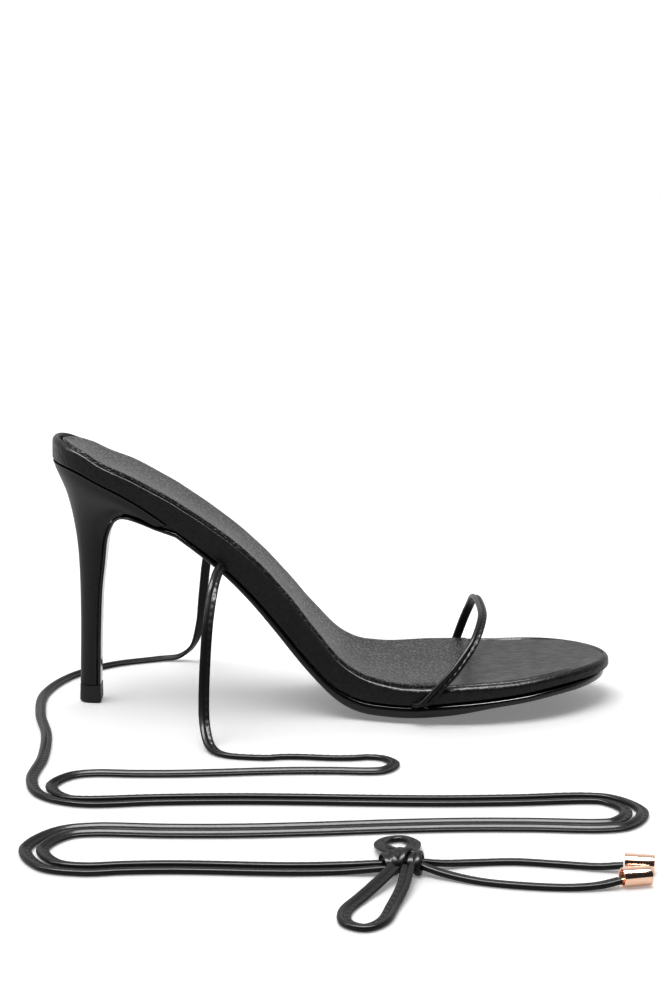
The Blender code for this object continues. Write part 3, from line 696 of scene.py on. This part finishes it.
# a white room to look at, darker where the shoe's front side mirrors it
plain = tree.nodes.new("ShaderNodeBackground")
plain.inputs["Strength"].default_value = studio["white"]
shaded = tree.nodes.new("ShaderNodeBackground")
place = tree.nodes.new("ShaderNodeTexCoord")
parts = tree.nodes.new("ShaderNodeSeparateXYZ")
fade = tree.nodes.new("ShaderNodeMapRange")
seen = tree.nodes.new("ShaderNodeLightPath")
both = tree.nodes.new("ShaderNodeMixShader")
out = tree.nodes.new("ShaderNodeOutputWorld")
for node in (plain, shaded):
    node.inputs["Color"].default_value = (1, 1, 1, 1)
for key, setting in (("From Min", "from"), ("From Max", "to"), ("To Min", "front"),
                     ("To Max", "behind")):
    fade.inputs[key].default_value = studio[setting]
for source, target in (
    (place.outputs["Generated"], parts.inputs[0]), (parts.outputs["Y"], fade.inputs["Value"]),
    (fade.outputs[0], shaded.inputs["Strength"]), (seen.outputs["Is Camera Ray"], both.inputs[0]),
    (shaded.outputs[0], both.inputs[1]), (plain.outputs[0], both.inputs[2]),
    (both.outputs[0], out.inputs["Surface"]),
):
    tree.links.new(source, target)

ground = {"size": 14, "base": (0.92, 0.92, 0.92), "roughness": 0.7, "specular": 0.1,
          "coatRoughness": 0.1, "glow": 0.26}
bpy.ops.mesh.primitive_plane_add(size=ground["size"], location=(0, 0, 0))
floor = bpy.context.object
floor.name = "floor"
floorPaint = newMaterial("floorPaint", ground)
paint = floorPaint.node_tree.nodes["Principled BSDF"]
paint.inputs["Emission Color"].default_value = (1, 1, 1, 1)
paint.inputs["Emission Strength"].default_value = ground["glow"]
floor.data.materials.append(floorPaint)
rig.stage(floor)

sun = {"toward": (0.22, 0.19, -1), "angle": 46, "power": 1.7}
bpy.ops.object.light_add(type="SUN", location=(0, 0, 2))
lamp = bpy.context.object
lamp.name = "keyLight"
lamp.data.energy = sun["power"]
lamp.data.angle = math.radians(sun["angle"])
lamp.rotation_mode = "QUATERNION"
lamp.rotation_quaternion = Vector(sun["toward"]).to_track_quat("-Z", "Y")


def softLight(name, place, target, size, power):
    bpy.ops.object.light_add(type="AREA", location=place)
    lamp = bpy.context.object
    lamp.name = name
    lamp.data.shape = "RECTANGLE"
    lamp.data.size, lamp.data.size_y = size
    lamp.data.energy = power
    lamp.visible_diffuse = False
    lamp.rotation_mode = "QUATERNION"
    lamp.rotation_quaternion = (Vector(target) - Vector(place)).to_track_quat("-Z", "Y")


# two softboxes that show in the gloss of edges and folds
softLight("stripLight", (0.0, -0.28, 0.9), (0, 0, 0.03), (1.3, 0.36), 42)
softLight("sideLight", (-0.85, -0.15, 0.7), (-0.02, 0, 0.03), (0.30, 0.8), 7.0)


print("ties")
# how far a band goes into the knot and the joint is in millimetres, the rest in metres
band = {"into": 1.8, "tuck": 4.0, "width": 0.0040, "height": 0.0019, "ring": 0.0007,
        "stitch": 0.0028, "thread": 0.00017, "drop": 0.00055, "dropFades": (0.002, 0.006),
        "slopeFrom": (0.050, 0.058)}
# half of the band is a rounded fold, the other half a stitched edge
bandSection = [
    (0.50, 0.00), (0.48, 0.26), (0.38, 0.45), (0.22, 0.50), (0.07, 0.40), (-0.02, 0.14), (-0.10, 0.06),
    (-0.18, 0.13), (-0.28, 0.14), (-0.40, 0.12), (-0.49, 0.06), (-0.50, -0.12), (-0.48, -0.30),
    (-0.38, -0.42), (-0.20, -0.44), (-0.04, -0.42), (0.10, -0.46), (0.30, -0.50), (0.45, -0.34),
]
stitching = {"columns": (7, 8), "from": 0.12, "to": 0.78, "sunk": 0.5}


def laneRows(start, lanes, aside):
    # swaying lanes joined by round folds, the last one up into the knot
    rows = []
    flat = 1.6  # height of the centre line on the floor
    places = list(zip(*(column(lanes, name) for name in ("y", "turn", "sway"))))
    for k, (y, turnAt, sway) in enumerate(places):
        for i in range(laneSteps + 1):
            t = i / laneSteps
            rows.append((start + (turnAt - start) * t, y + sway * math.sin(2 * math.pi * t), flat))
        if k + 1 < len(places):
            across = places[k + 1][0] - y
            out = math.copysign(abs(across) / 2, turnAt - start)
            for degrees in foldTurns:
                angle = math.radians(degrees)
                rows.append((turnAt + out * math.sin(angle),
                             y + across * (1 - math.cos(angle)) / 2, flat))
        start = turnAt
    rows[-1] = (start, knotPlace["y"] + aside * knotEntry["aside"], knotEntry["up"])
    return rows


def evenRoute(rows, step, drop=0.0):
    # evenly spaced points of a smooth curve through rows of x, y and z
    fine = []
    finer = 24
    last = len(rows) - 2
    for k in range(last * finer + 1):
        at = min(k / finer, last)
        fine.append(Vector([through([row[axis] * mm for row in rows[1:]], at) for axis in range(3)]))
    lengths = [0.0]
    for a, b in zip(fine, fine[1:]):
        lengths.append(lengths[-1] + (b - a).length)
    count = max(12, round(lengths[-1] / step))
    points = []
    k = 0
    for i in range(count + 1):
        want = lengths[-1] * i / count
        while k < len(fine) - 2 and lengths[k + 1] < want:
            k += 1
        point = fine[k].lerp(fine[k + 1], (want - lengths[k]) / (lengths[k + 1] - lengths[k]))
        point.z -= drop * (1 - smoothRise(point.z, *band["dropFades"]))
        points.append(point)
    return points, lengths[-1]


def bandAlong(name, points, acrossAt, s, section, replaced):
    # a section swept along points, with stitches raised along its thread
    count = len(points) - 1
    frames = []
    travelled = 0.0
    for k, point in enumerate(points):
        run = (points[min(k + 1, count)] - points[max(k - 1, 0)]).normalized()
        across = acrossAt(run, point)
        across = (across - run * across.dot(run)).normalized()
        if k:
            travelled += (point - points[k - 1]).length
        frames.append((point, across, across.cross(run), travelled))
    size = len(section)

    def place(i, j):
        if i == 0 or i == count + 2:
            return frames[0 if i == 0 else count][0].copy()
        point, across, up, way = frames[i - 1]
        u, v = section[j % size]
        height = v * s["height"]
        if (j % size) in stitching["columns"]:
            raised = stitching["from"] < (way / s["stitch"]) % 1.0 < stitching["to"]
            height += s["thread"] if raised else -s["thread"] * stitching["sunk"]
        return point + across * (u * s["width"]) + up * height

    item = shapedGrid(name, count + 2, size, place)
    return finishPiece(item, "strap_leather", bandLeather, replaced, angle=70)


def tieAcross(run, point):
    # flat between footbed and outsole where it comes out, flat on the floor after that
    flat = run.cross(Vector((0, 0, 1))) if abs(run.z) < 0.995 else Vector((1, 0, 0))
    step = 0.002
    fall = (jointHeight(point.x + step, 1) - jointHeight(point.x - step, 1)) / (2 * step)
    sloping = Vector((1, 0, fall)) * math.copysign(1, flat.x)
    return flat.lerp(sloping, smoothRise(point.z, *band["slopeFrom"]))


ties = {
    "tieOuter": {"rows": outerFall + laneRows(outerLaneStart, outerLanes, 1), "node": "tie_outer",
                 "end": "knot", "into": ("last",)},
    "tieInner": {"rows": innerFall + laneRows(innerLaneStart, innerLanes, -1), "node": "tie_inner",
                 "end": "knot", "into": ("last",)},
    "bowLoopShort": {"rows": shortLoopRows, "node": "bow_loop_short", "end": "knot", "into": ()},
    "bowLoopLong": {"rows": longLoopRows, "node": "bow_loop_long", "end": "knot", "into": ()},
    "tieEndOuter": {"rows": outerEndRows, "node": "tie_end_outer", "end": "fitting",
                    "into": ("first",)},
    "tieEndInner": {"rows": innerEndRows, "node": "tie_end_inner", "end": "fitting",
                    "into": ("first",)},
}
for name, s in ties.items():
    rows = list(s["rows"])
    if s["end"] == "knot" and s["into"]:
        # the solid ends at the footbed's edge, the band goes on into the joint
        edge, outside = Vector(rows[1]), Vector(rows[2])
        rows.insert(1, tuple(edge + (edge - outside).normalized() * band["tuck"]))
    for end in s["into"]:
        # a little further into the knot than the solid goes
        at = -1 if end == "last" else 1
        place = Vector(rows[at])
        middle = Vector((knotPlace["x"], knotPlace["y"], knotPlace["z"]))
        rows[at] = tuple(place + (middle - place).normalized() * band["into"])
    s["points"], s["length"] = evenRoute(rows, band["ring"], band["drop"])
    s["piece"] = bandAlong(name, s["points"], tieAcross, band, bandSection, (s["node"],))
    print(name, round(s["length"], 4), len(s["piece"].data.polygons))

print("knot")
knot = {"around": 56, "height": 0.0037, "thick": 0.0016, "wraps": [
    {"lean": 13, "turn": 8, "wide": 0.0042, "long": 0.0040, "tall": 0.0028, "aside": -0.0040},
    {"lean": -12, "turn": -8, "wide": 0.0042, "long": 0.0040, "tall": 0.0028, "aside": 0.0040},
    {"lean": 84, "turn": 3, "wide": 0.0042, "long": 0.0058, "tall": 0.0020, "aside": 0.0006},
    {"lean": -24, "turn": 5, "wide": 0.0044, "long": 0.0046, "tall": 0.0031, "aside": 0.0002},
]}
knotCentre = Vector((knotPlace["x"] * mm, knotPlace["y"] * mm, knot["height"]))


def knotWrap(index, s):
    # a band going once round the knot
    lean, turnBy = math.radians(s["lean"]), math.radians(s["turn"])
    points = []
    for k in range(knot["around"] + 1):
        t = 2 * math.pi * k / knot["around"]
        flat = Vector((s["aside"], math.cos(t) * s["long"], math.sin(t) * s["tall"]))
        x = flat.x * math.cos(lean) - flat.y * math.sin(lean)
        y = flat.x * math.sin(lean) + flat.y * math.cos(lean)
        z = flat.z + x * math.sin(turnBy)
        points.append(knotCentre + Vector((x, y, z)))
    axis = Vector((math.cos(lean), math.sin(lean), 0))
    size = len(bandSection)

    def place(i, j):
        point = points[i % knot["around"]]
        run = (points[(i + 1) % knot["around"]] - points[(i - 1) % knot["around"]]).normalized()
        across = (axis - run * axis.dot(run)).normalized()
        up = across.cross(run)
        u, v = bandSection[j % size]
        return point + across * (u * s["wide"]) - up * (v * knot["thick"])

    return shapedGrid(f"knotWrap{index}", knot["around"], size, place)


wraps = [knotWrap(k, s) for k, s in enumerate(knot["wraps"])]
only(wraps[0])
for wrap in wraps[1:]:
    wrap.select_set(True)
bpy.ops.object.join()
bowKnot = bpy.context.object
bowKnot.name = bowKnot.data.name = "bowKnot"
finishPiece(bowKnot, "strap_leather", bandLeather, ("bow_knot",), angle=60)

print("metal ends")
tip = {"radius": 0.0028, "length": 0.0088, "round": 0.0004, "bore": 0.0022, "boreDepth": 0.0030,
       "gap": 0.0005, "clear": 0.0001, "stud": 0.0009, "studUp": 0.0021}


def metalEnd(name, node, line):
    # a turned sleeve with a bore and a stud, lying in line with the end of its tie
    end = line[-1].copy()
    run = end - line[-8]
    run.z = 0
    run.normalize()
    centre = end + run * (tip["length"] / 2 + tip["gap"])
    centre.z = tip["radius"] + tip["clear"]
    bpy.ops.object.select_all(action="DESELECT")
    bpy.ops.mesh.primitive_cylinder_add(vertices=48, radius=tip["radius"], depth=tip["length"])
    item = bpy.context.object
    item.name = item.data.name = name
    bpy.ops.object.mode_set(mode="EDIT")
    bpy.ops.mesh.select_mode(type="FACE")
    bpy.ops.mesh.select_all(action="DESELECT")
    shape = bmesh.from_edit_mesh(item.data)
    for face in shape.faces:
        face.select_set(face.normal.z < -0.9)
    bmesh.update_edit_mesh(item.data)
    bpy.ops.mesh.inset(thickness=tip["radius"] - tip["bore"])
    bpy.ops.mesh.extrude_region_move(TRANSFORM_OT_translate={"value": (0, 0, tip["boreDepth"])})
    bpy.ops.mesh.select_all(action="DESELECT")
    bpy.ops.object.mode_set(mode="OBJECT")
    applyModifier(item, "BEVEL", width=tip["round"], segments=3, limit_method="ANGLE",
                  angle_limit=math.radians(40))
    bpy.ops.object.select_all(action="DESELECT")
    studPlace = (tip["radius"] * 0.60, -tip["radius"] * 0.72, tip["studUp"])
    bpy.ops.mesh.primitive_uv_sphere_add(segments=20, ring_count=10, radius=tip["stud"],
                                         location=studPlace)
    stud = bpy.context.object
    only(item)
    stud.select_set(True)
    bpy.ops.object.join()
    item.rotation_mode = "QUATERNION"
    item.rotation_quaternion = run.to_track_quat("Z", "Y")
    item.location = centre
    bpy.ops.object.transform_apply(location=True, rotation=True, scale=True)
    return finishPiece(item, "rose_gold", roseGold, (node,), angle=35)


metalOuter = metalEnd("metalOuter", "tip_outer", ties["tieEndOuter"]["points"])
metalInner = metalEnd("metalInner", "tip_inner", ties["tieEndInner"]["points"])
held = {"tieOuter": [bowKnot], "tieEndOuter": [metalOuter], "tieEndInner": [metalInner]}
for name, s in ties.items():
    s["with"] = held.get(name, [])
    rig.cord(s["piece"], exit=s["points"][0], length=s["length"], diameter=band["width"], far_end=s["end"],
            stiffness="limp", lay="loose", path=s["points"], with_pieces=s["with"])


print("heel and outsole")
heel = copyNode("heel", "heelCover", 2)
lip = {"out": 0.0004, "down": 0.0012, "middle": 0.001}
for corner in heel.data.vertices:
    near = jointHeight(corner.co.x, 0) - shoe["gap"] - corner.co.z
    if near < lip["down"] and abs(corner.co.y) > lip["middle"]:
        corner.co.y += math.copysign(lip["out"] * (1 - max(near, 0) / lip["down"]), corner.co.y)
finishPiece(heel, "heel_leather", heelLeather, ("heel",), angle=60)
sole = {"inset": 0.0003, "lip": 0.0011, "flap": 0.0013, "ways": 120, "across": 10, "edge": 5,
        "tread": 0.0012, "treadIn": (0.47, 0.53), "treadOut": (0.69, 0.79), "lipIn": (0.60, 0.68),
        "lipOut": (0.84, 0.93), "round": 0.0007, "leastFlat": 0.2,
        "point": 0.0005}


def outsoleUnder(x, across):
    s = share(x)
    tread = smoothRise(s, *sole["treadIn"]) * (1 - smoothRise(s, *sole["treadOut"]))
    height = jointHeight(x, across) - shoe["gap"] - layer("outsole", x) - sole["tread"] * tread
    return max(height, 0.0)


def breastLine():
    # the sheet's middle line down the breast of the heel
    places, heights, halves = (column(breastRows, n) for n in ("place", "height", "half width"))
    finer = 3
    count = (len(places) - 1) * finer
    line = []
    for k in range(count + 1):
        at = k / finer
        x = -shoe["length"] / 2 + through(places, at) * shoe["lipReach"]
        line.append([x, through(heights, at) * shoe["heelHeight"],
                     through(halves, at) * shoe["widths"]["seat"]])
    line[-1][1] = shoe["tipHeight"] + shoe["gap"]
    rows = []
    for k, (x, z, half) in enumerate(line):
        before, after = line[max(k - 1, 0)], line[min(k + 1, count)]
        run = Vector((after[0] - before[0], 0, after[1] - before[1])).normalized()
        rows.append((Vector((x, 0, z)), Vector((-run.z, 0, run.x)), half))
    return rows


def soleSection(upperAt, lowerAt, half):
    # points round one slice; the edges are half rounds, a is the place across from -1 to 1
    line = []
    flat = max(1 - sole["round"] / max(half, 0.0001), sole["leastFlat"])
    for side in (1, -1):
        for c in range(sole["across"] + 1):
            a = side * (1 - 2 * c / sole["across"])
            line.append((upperAt if side > 0 else lowerAt)(a * flat))
        for k in range(1, sole["edge"]):
            angle = math.pi * k / sole["edge"]
            t = (1 + math.cos(angle)) / 2
            inner = -side * flat
            rim = -side * (flat * (1 - math.sin(angle)) + math.sin(angle))
            top, under = upperAt(rim), lowerAt(rim)
            edge = upperAt(inner).lerp(lowerAt(inner), 1 - t if side > 0 else t)
            middle = top.lerp(under, 1 - t if side > 0 else t)
            line.append(middle if math.sin(angle) > 0.2 else edge.lerp(middle, 0.5))
    return line


def soleSlices():
    # slices from the toe to the heel's lip, then down the breast
    reach = -shoe["length"] / 2 + shoe["lipReach"]
    slices = []
    for k in range(sole["ways"], -1, -1):
        way = 0.5 - 0.5 * math.cos(math.pi * k / sole["ways"])
        ball = smoothRise(way, *sole["lipIn"]) * (1 - smoothRise(way, *sole["lipOut"]))
        low, high = (outlinePoint(side, way, sole["inset"] - sole["lip"] * ball) for side in (-1, 1))
        if min(low.x, high.x) < reach:
            break

        def on(height, low=low, high=high):
            def point(a):
                flat = low.lerp(high, (a + 1) / 2)
                across = a if (high - low).length > sole["point"] else 1
                return Vector((flat.x, flat.y, height(flat.x, across)))
            return point

        half = (high - low).length / 2
        upper = on(lambda x, a: jointHeight(x, a) - shoe["gap"])
        slices.append(soleSection(upper, on(outsoleUnder), half))
    for place, outward, half in breastLine():
        inner = place - outward * sole["flap"]
        slices.append(soleSection(lambda a, p=inner, h=half: Vector((p.x, a * h, p.z)),
                                  lambda a, p=place, h=half: Vector((p.x, a * h, p.z)), half))
    for point in slices[-1]:
        point.z = shoe["tipHeight"] + shoe["gap"]
    return slices


slices = soleSlices()
size = len(slices[0])
foot = sum(slices[-1], Vector()) / len(slices[-1])
slices = [[slices[0][0]] * size] + slices + [[foot] * size]  # both ends closed
outsole = shapedGrid("outsoleSheet", len(slices) - 1, size, lambda i, j: slices[i][j % size])
finishPiece(outsole, "sole_black", soleBlack, ("outsole",), angle=60)
heelTip = copyNode("heel_tip", "heelTip", 1)
finishPiece(heelTip, "tip_rubber", tipRubber, ("heel_tip",), angle=60)


print("footbed")
bed = {"around": 132, "lower": 0.0007, "roll": 0.0008, "rollToe": 0.0022, "rollBack": 0.0024,
       "rollToeFrom": (0.50, 0.70), "rollBackTo": (0.0, 0.07), "toeOut": 0.0016,
       "toeOutFrom": (0.80, 1.0),
       "groove": 0.0017, "grooveIn": 0.0012, "grooveWide": 0.0008, "grooveAhead": 0.003,
       "grooveFades": (0.78, 0.96), "sockDrop": 0.0010, "sockDropIn": (0.0010, 0.0018),
       "sockDropBehind": (-0.0012, 0.0004), "folds": 0.7, "clear": 0.0001}
sock = {"endOuter": 0.615, "endInner": 0.670, "bow": 0.0030, "inset": 0.0016, "insetBack": 0.0042,
        "insetBackTo": (0.0, 0.12), "rows": 150, "columns": 40, "droop": 0.00025,
        "droopInner": 0.0015, "droopOver": 0.0010, "droopOverInner": 0.0016, "frontReach": 0.14,
        "thick": 0.0012, "proud": 0.0003, "proudBall": 0.0002, "proudFades": (0.2, 0.5),
        "frontLow": 0.8, "frontFrom": (0.9, 1.0)}


def sockInset(way):
    more = (sock["insetBack"] - sock["inset"]) * (1 - smoothRise(way, *sock["insetBackTo"]))
    return sock["inset"] + more


def sockEnd(y):
    # how far forward the sock reaches, by the place across the foot
    outer, inner = outlinePoint(-1, sock["endOuter"]), outlinePoint(1, sock["endInner"])
    t = min(max((y - outer.y) / (inner.y - outer.y), 0.0), 1.0)
    return outer.x + (inner.x - outer.x) * t + sock["bow"] * (1 - (2 * t - 1) ** 2)


def rollRadius(x):
    toe = (bed["rollToe"] - bed["roll"]) * smoothRise(share(x), *bed["rollToeFrom"])
    back = (bed["rollBack"] - bed["roll"]) * (1 - smoothRise(share(x), *bed["rollBackTo"]))
    return bed["roll"] + toe + back


def underSock(point, inset):
    # how much lower the wrap lies under the sock
    end = sockEnd(point.y)
    before, after = bed["sockDropBehind"]
    behind = 1 - smoothRise(point.x, end + before, end + after)
    return bed["sockDrop"] * behind * smoothRise(inset, *bed["sockDropIn"])


bedWays = [k / bed["around"] for k in range(bed["around"] + 1)]
bedLoop = [(-1, w) for w in bedWays] + [(1, w) for w in reversed(bedWays[:-1])]
rollTurns = (0, 12, 26, 40, 54, 68, 80, 90)
topShares = (0.012, 0.024, 0.036, 0.05, 0.065, 0.08, 0.1, 0.13, 0.18, 0.25, 0.35, 0.46, 0.6, 0.8, 1.0)
underShares = (1.0, 0.5, 0.12)
wallShares = (0.0, 0.1, 0.3, 0.55, 0.8)


foldRows = [
    ("x", "y", "run", "wide", "deep"),
    (0.0325, -0.0352, 0.0040, 0.00060, 0.00055),
    (0.0360, -0.0365, 0.0036, 0.00055, 0.00070),
    (0.0388, -0.0358, 0.0030, 0.00050, 0.00060),
    (0.0345, -0.0328, 0.0050, 0.00070, 0.00030),
]


def folds(point):
    # small puckers of the leather where the toe strap goes down at the outer edge
    depth = 0.0
    for x, y, run, wide, deep in foldRows[1:]:
        along = (point.x - x + 0.5 * (point.y - y)) / wide
        across = (point.y - y) / run
        depth += deep * math.exp(-along * along - across * across)
    return depth


def bedColumn(side, way):
    # from the middle of the underside round the wall and the roll to the middle of the top
    bulge = -bed["toeOut"] * smoothRise(way, *bed["toeOutFrom"])
    edge = outlinePoint(side, way, bulge)
    middle = (outlinePoint(-1, way) + outlinePoint(1, way)) / 2
    low = jointHeight(edge.x, side)
    top = footbedTop(edge.x, side)
    roll = rollRadius(edge.x)
    start = outlinePoint(side, way, bed["lower"] + bulge / 2)
    line = []
    for t in underShares:
        flat = start.lerp(middle, t)
        line.append((flat.x, flat.y, jointHeight(flat.x, side * (1 - t)) + bed["clear"]))
    line.append((start.x, start.y, low + bed["clear"]))
    for t in wallShares:
        z = low + bed["lower"] + (top - roll - low - bed["lower"]) * t
        line.append((edge.x, edge.y, z))
    for degrees in rollTurns:
        angle = math.radians(degrees)
        flat = outlinePoint(side, way, bulge + roll * (1 - math.cos(angle)))
        line.append((flat.x, flat.y, top - roll * (1 - math.sin(angle))))
    inner = outlinePoint(side, way, bulge + roll)
    for t in topShares:
        flat = inner.lerp(middle, t)
        z = footbedTop(flat.x, side * (1 - t))
        inset = roll + (middle - inner).length * t
        z -= underSock(flat, inset)
        # the crease along the forefoot's edge, ahead of the sock
        ahead = smoothRise(flat.x, sockEnd(flat.y), sockEnd(flat.y) + bed["grooveAhead"])
        dip = math.exp(-(((inset - roll - bed["grooveIn"]) / bed["grooveWide"]) ** 2))
        z -= bed["groove"] * ahead * dip * (1 - smoothRise(share(flat.x), *bed["grooveFades"]))
        z -= folds(flat) * bed["folds"]
        line.append((flat.x, flat.y, z))
    return line


bedColumns = [bedColumn(side, way) for side, way in bedLoop]
bedSize = len(bedColumns[0])
footbed = shapedGrid("footbedWrap", len(bedLoop) - 1, bedSize - 1,
                     lambda i, j: Vector(bedColumns[i][j]))
applyModifier(footbed, "SUBSURF", levels=1, render_levels=1)
finishPiece(footbed, "smooth_leather", wrapLeather, ("footbed",), angle=70)
print("footbed", len(footbed.data.polygons))

print("sock")
sockAcross = [0.5 - 0.5 * math.cos(math.pi * j / sock["columns"]) for j in range(sock["columns"] + 1)]


def sockPlace(i, j):
    part = i / sock["rows"]
    wayOuter, wayInner = part * sock["endOuter"], part * sock["endInner"]
    outer = outlinePoint(-1, wayOuter, sockInset(wayOuter))
    inner = outlinePoint(1, wayInner, sockInset(wayInner))
    t = sockAcross[j]
    flat = outer.lerp(inner, t)
    across = -1 + 2 * t
    flat.x += sock["bow"] * (1 - across * across) * part
    edge = min(t, 1 - t) * (inner - outer).length
    edge = min(edge, (1 - part) * sock["frontReach"])
    droop = sock["droop"] + (sock["droopInner"] - sock["droop"]) * (1 + across) / 2
    over = sock["droopOver"] + sock["droopOverInner"] * (1 + across) / 2
    z = footbedTop(flat.x, across) - droop * (1 - smoothRise(edge, 0.0, over))
    ball = smoothRise(share(flat.x), *sock["proudFades"])
    proud = sock["proud"] + (sock["proudBall"] - sock["proud"]) * ball
    front = 1 - sock["frontLow"] * smoothRise(part, *sock["frontFrom"])
    z += proud * (1 - across) / 2 * front - folds(flat)
    return Vector((flat.x, flat.y, z))


insole = shapedGrid("grainedSock", sock["rows"], sock["columns"], sockPlace)
applyModifier(insole, "SOLIDIFY", thickness=sock["thick"], offset=-1)
finishPiece(insole, "grained_leather", sockLeather, ("insole",), angle=60)


print("toe strap")
strap = {"width": 0.0035, "height": 0.0019, "ring": 0.0007, "rise": 0.0290, "clear": 0.0004,
         "tuck": 0.0050, "bend": 0.0016, "hook": 0.0056, "sink": 0.35, "foot": 0.0022,
         "shoulder": 0.62, "crest": 0.95, "stitch": 0.0028, "thread": 0.00028, "smooth": 14}


def halfWidth(side, x):
    # the outline's distance from the middle line
    low, high = 0.0, 1.0
    for _ in range(26):
        middle = (low + high) / 2
        if outlinePoint(side, middle).x < x:
            low = middle
        else:
            high = middle
    return abs(outlinePoint(side, low).y)


def strapLine():
    turns = column(strapRows, "turn")
    xs = [(a - 0.5) * shoe["length"] for a in column(strapRows, "along")]
    riseOf = strap["height"] / 2 + shoe["gap"]
    ends = {}
    for side, x in ((-1, xs[0]), (1, xs[-1])):
        ends[side] = (x, halfWidth(side, x), jointHeight(x, side) - shoe["gap"] + riseOf)
    reach = max(e[1] for e in ends.values()) + strap["clear"] + strap["height"] / 2
    bend = strap["bend"]

    def tuck(side):
        # from between footbed and outsole out round the edge, on the outer side hooked back
        x, half, z = ends[side]
        low = jointHeight(x, side * (1 - strap["tuck"] / half)) - shoe["gap"] + riseOf
        corner = reach - bend
        pull = strap["hook"] if side < 0 else 0.0
        sink = strap["sink"] * bend if side < 0 else 0.0
        return [
            Vector((x - pull, side * (reach - strap["tuck"] - bend), low)),
            Vector((x - 0.97 * pull, side * (reach - 0.5 * strap["tuck"] - bend), (low + z) / 2)),
            Vector((x - 0.90 * pull, side * (corner - 0.1 * bend - 1.2 * sink), z - 1.2 * sink)),
            Vector((x - 0.62 * pull, side * (corner + 0.62 * bend - sink),
                    z + 0.25 * bend - 1.6 * sink)),
            Vector((x - 0.30 * pull, side * (corner + 0.98 * bend), z + 0.75 * bend - 1.6 * sink)),
        ]

    centres = tuck(-1)
    count = 2 * (len(turns) - 1)
    for k in range(count + 1):
        angle = math.radians(through(turns, k / 2))
        x = through(xs, k / 2)
        c, s = math.cos(angle), math.sin(angle)
        low = ends[-1][2] + (ends[1][2] - ends[-1][2]) * (1 - c) / 2 + strap["foot"]
        y = -reach * math.copysign(abs(c) ** strap["shoulder"], c)
        up = (strap["rise"] - strap["foot"]) * max(s, 0.0) ** strap["crest"]
        centres.append(Vector((x, y, low + up)))
    return centres + tuck(1)[::-1]


strapRowsFine = [("x", "y", "z")] + [tuple(v / mm for v in p) for p in strapLine()]
strapPoints = evenRoute(strapRowsFine, strap["ring"])[0]
for _ in range(strap["smooth"]):
    inner = [(a + 2 * b + c) / 4 for a, b, c in zip(strapPoints, strapPoints[1:], strapPoints[2:])]
    strapPoints = [strapPoints[0]] + inner + [strapPoints[-1]]
# its fold is at the heel side and its stitched face outside
strapSection = [(-u, v) for u, v in bandSection]
bandAlong("toeStrap", strapPoints, lambda run, point: Vector((1, 0, 0)), strap, strapSection,
          ("toe_strap",))

print("sizes")
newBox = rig.bounds()
with open("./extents.json", "w") as out:
    json.dump({"cad": [list(v) for v in cadBox], "visual": [list(v) for v in newBox]}, out)
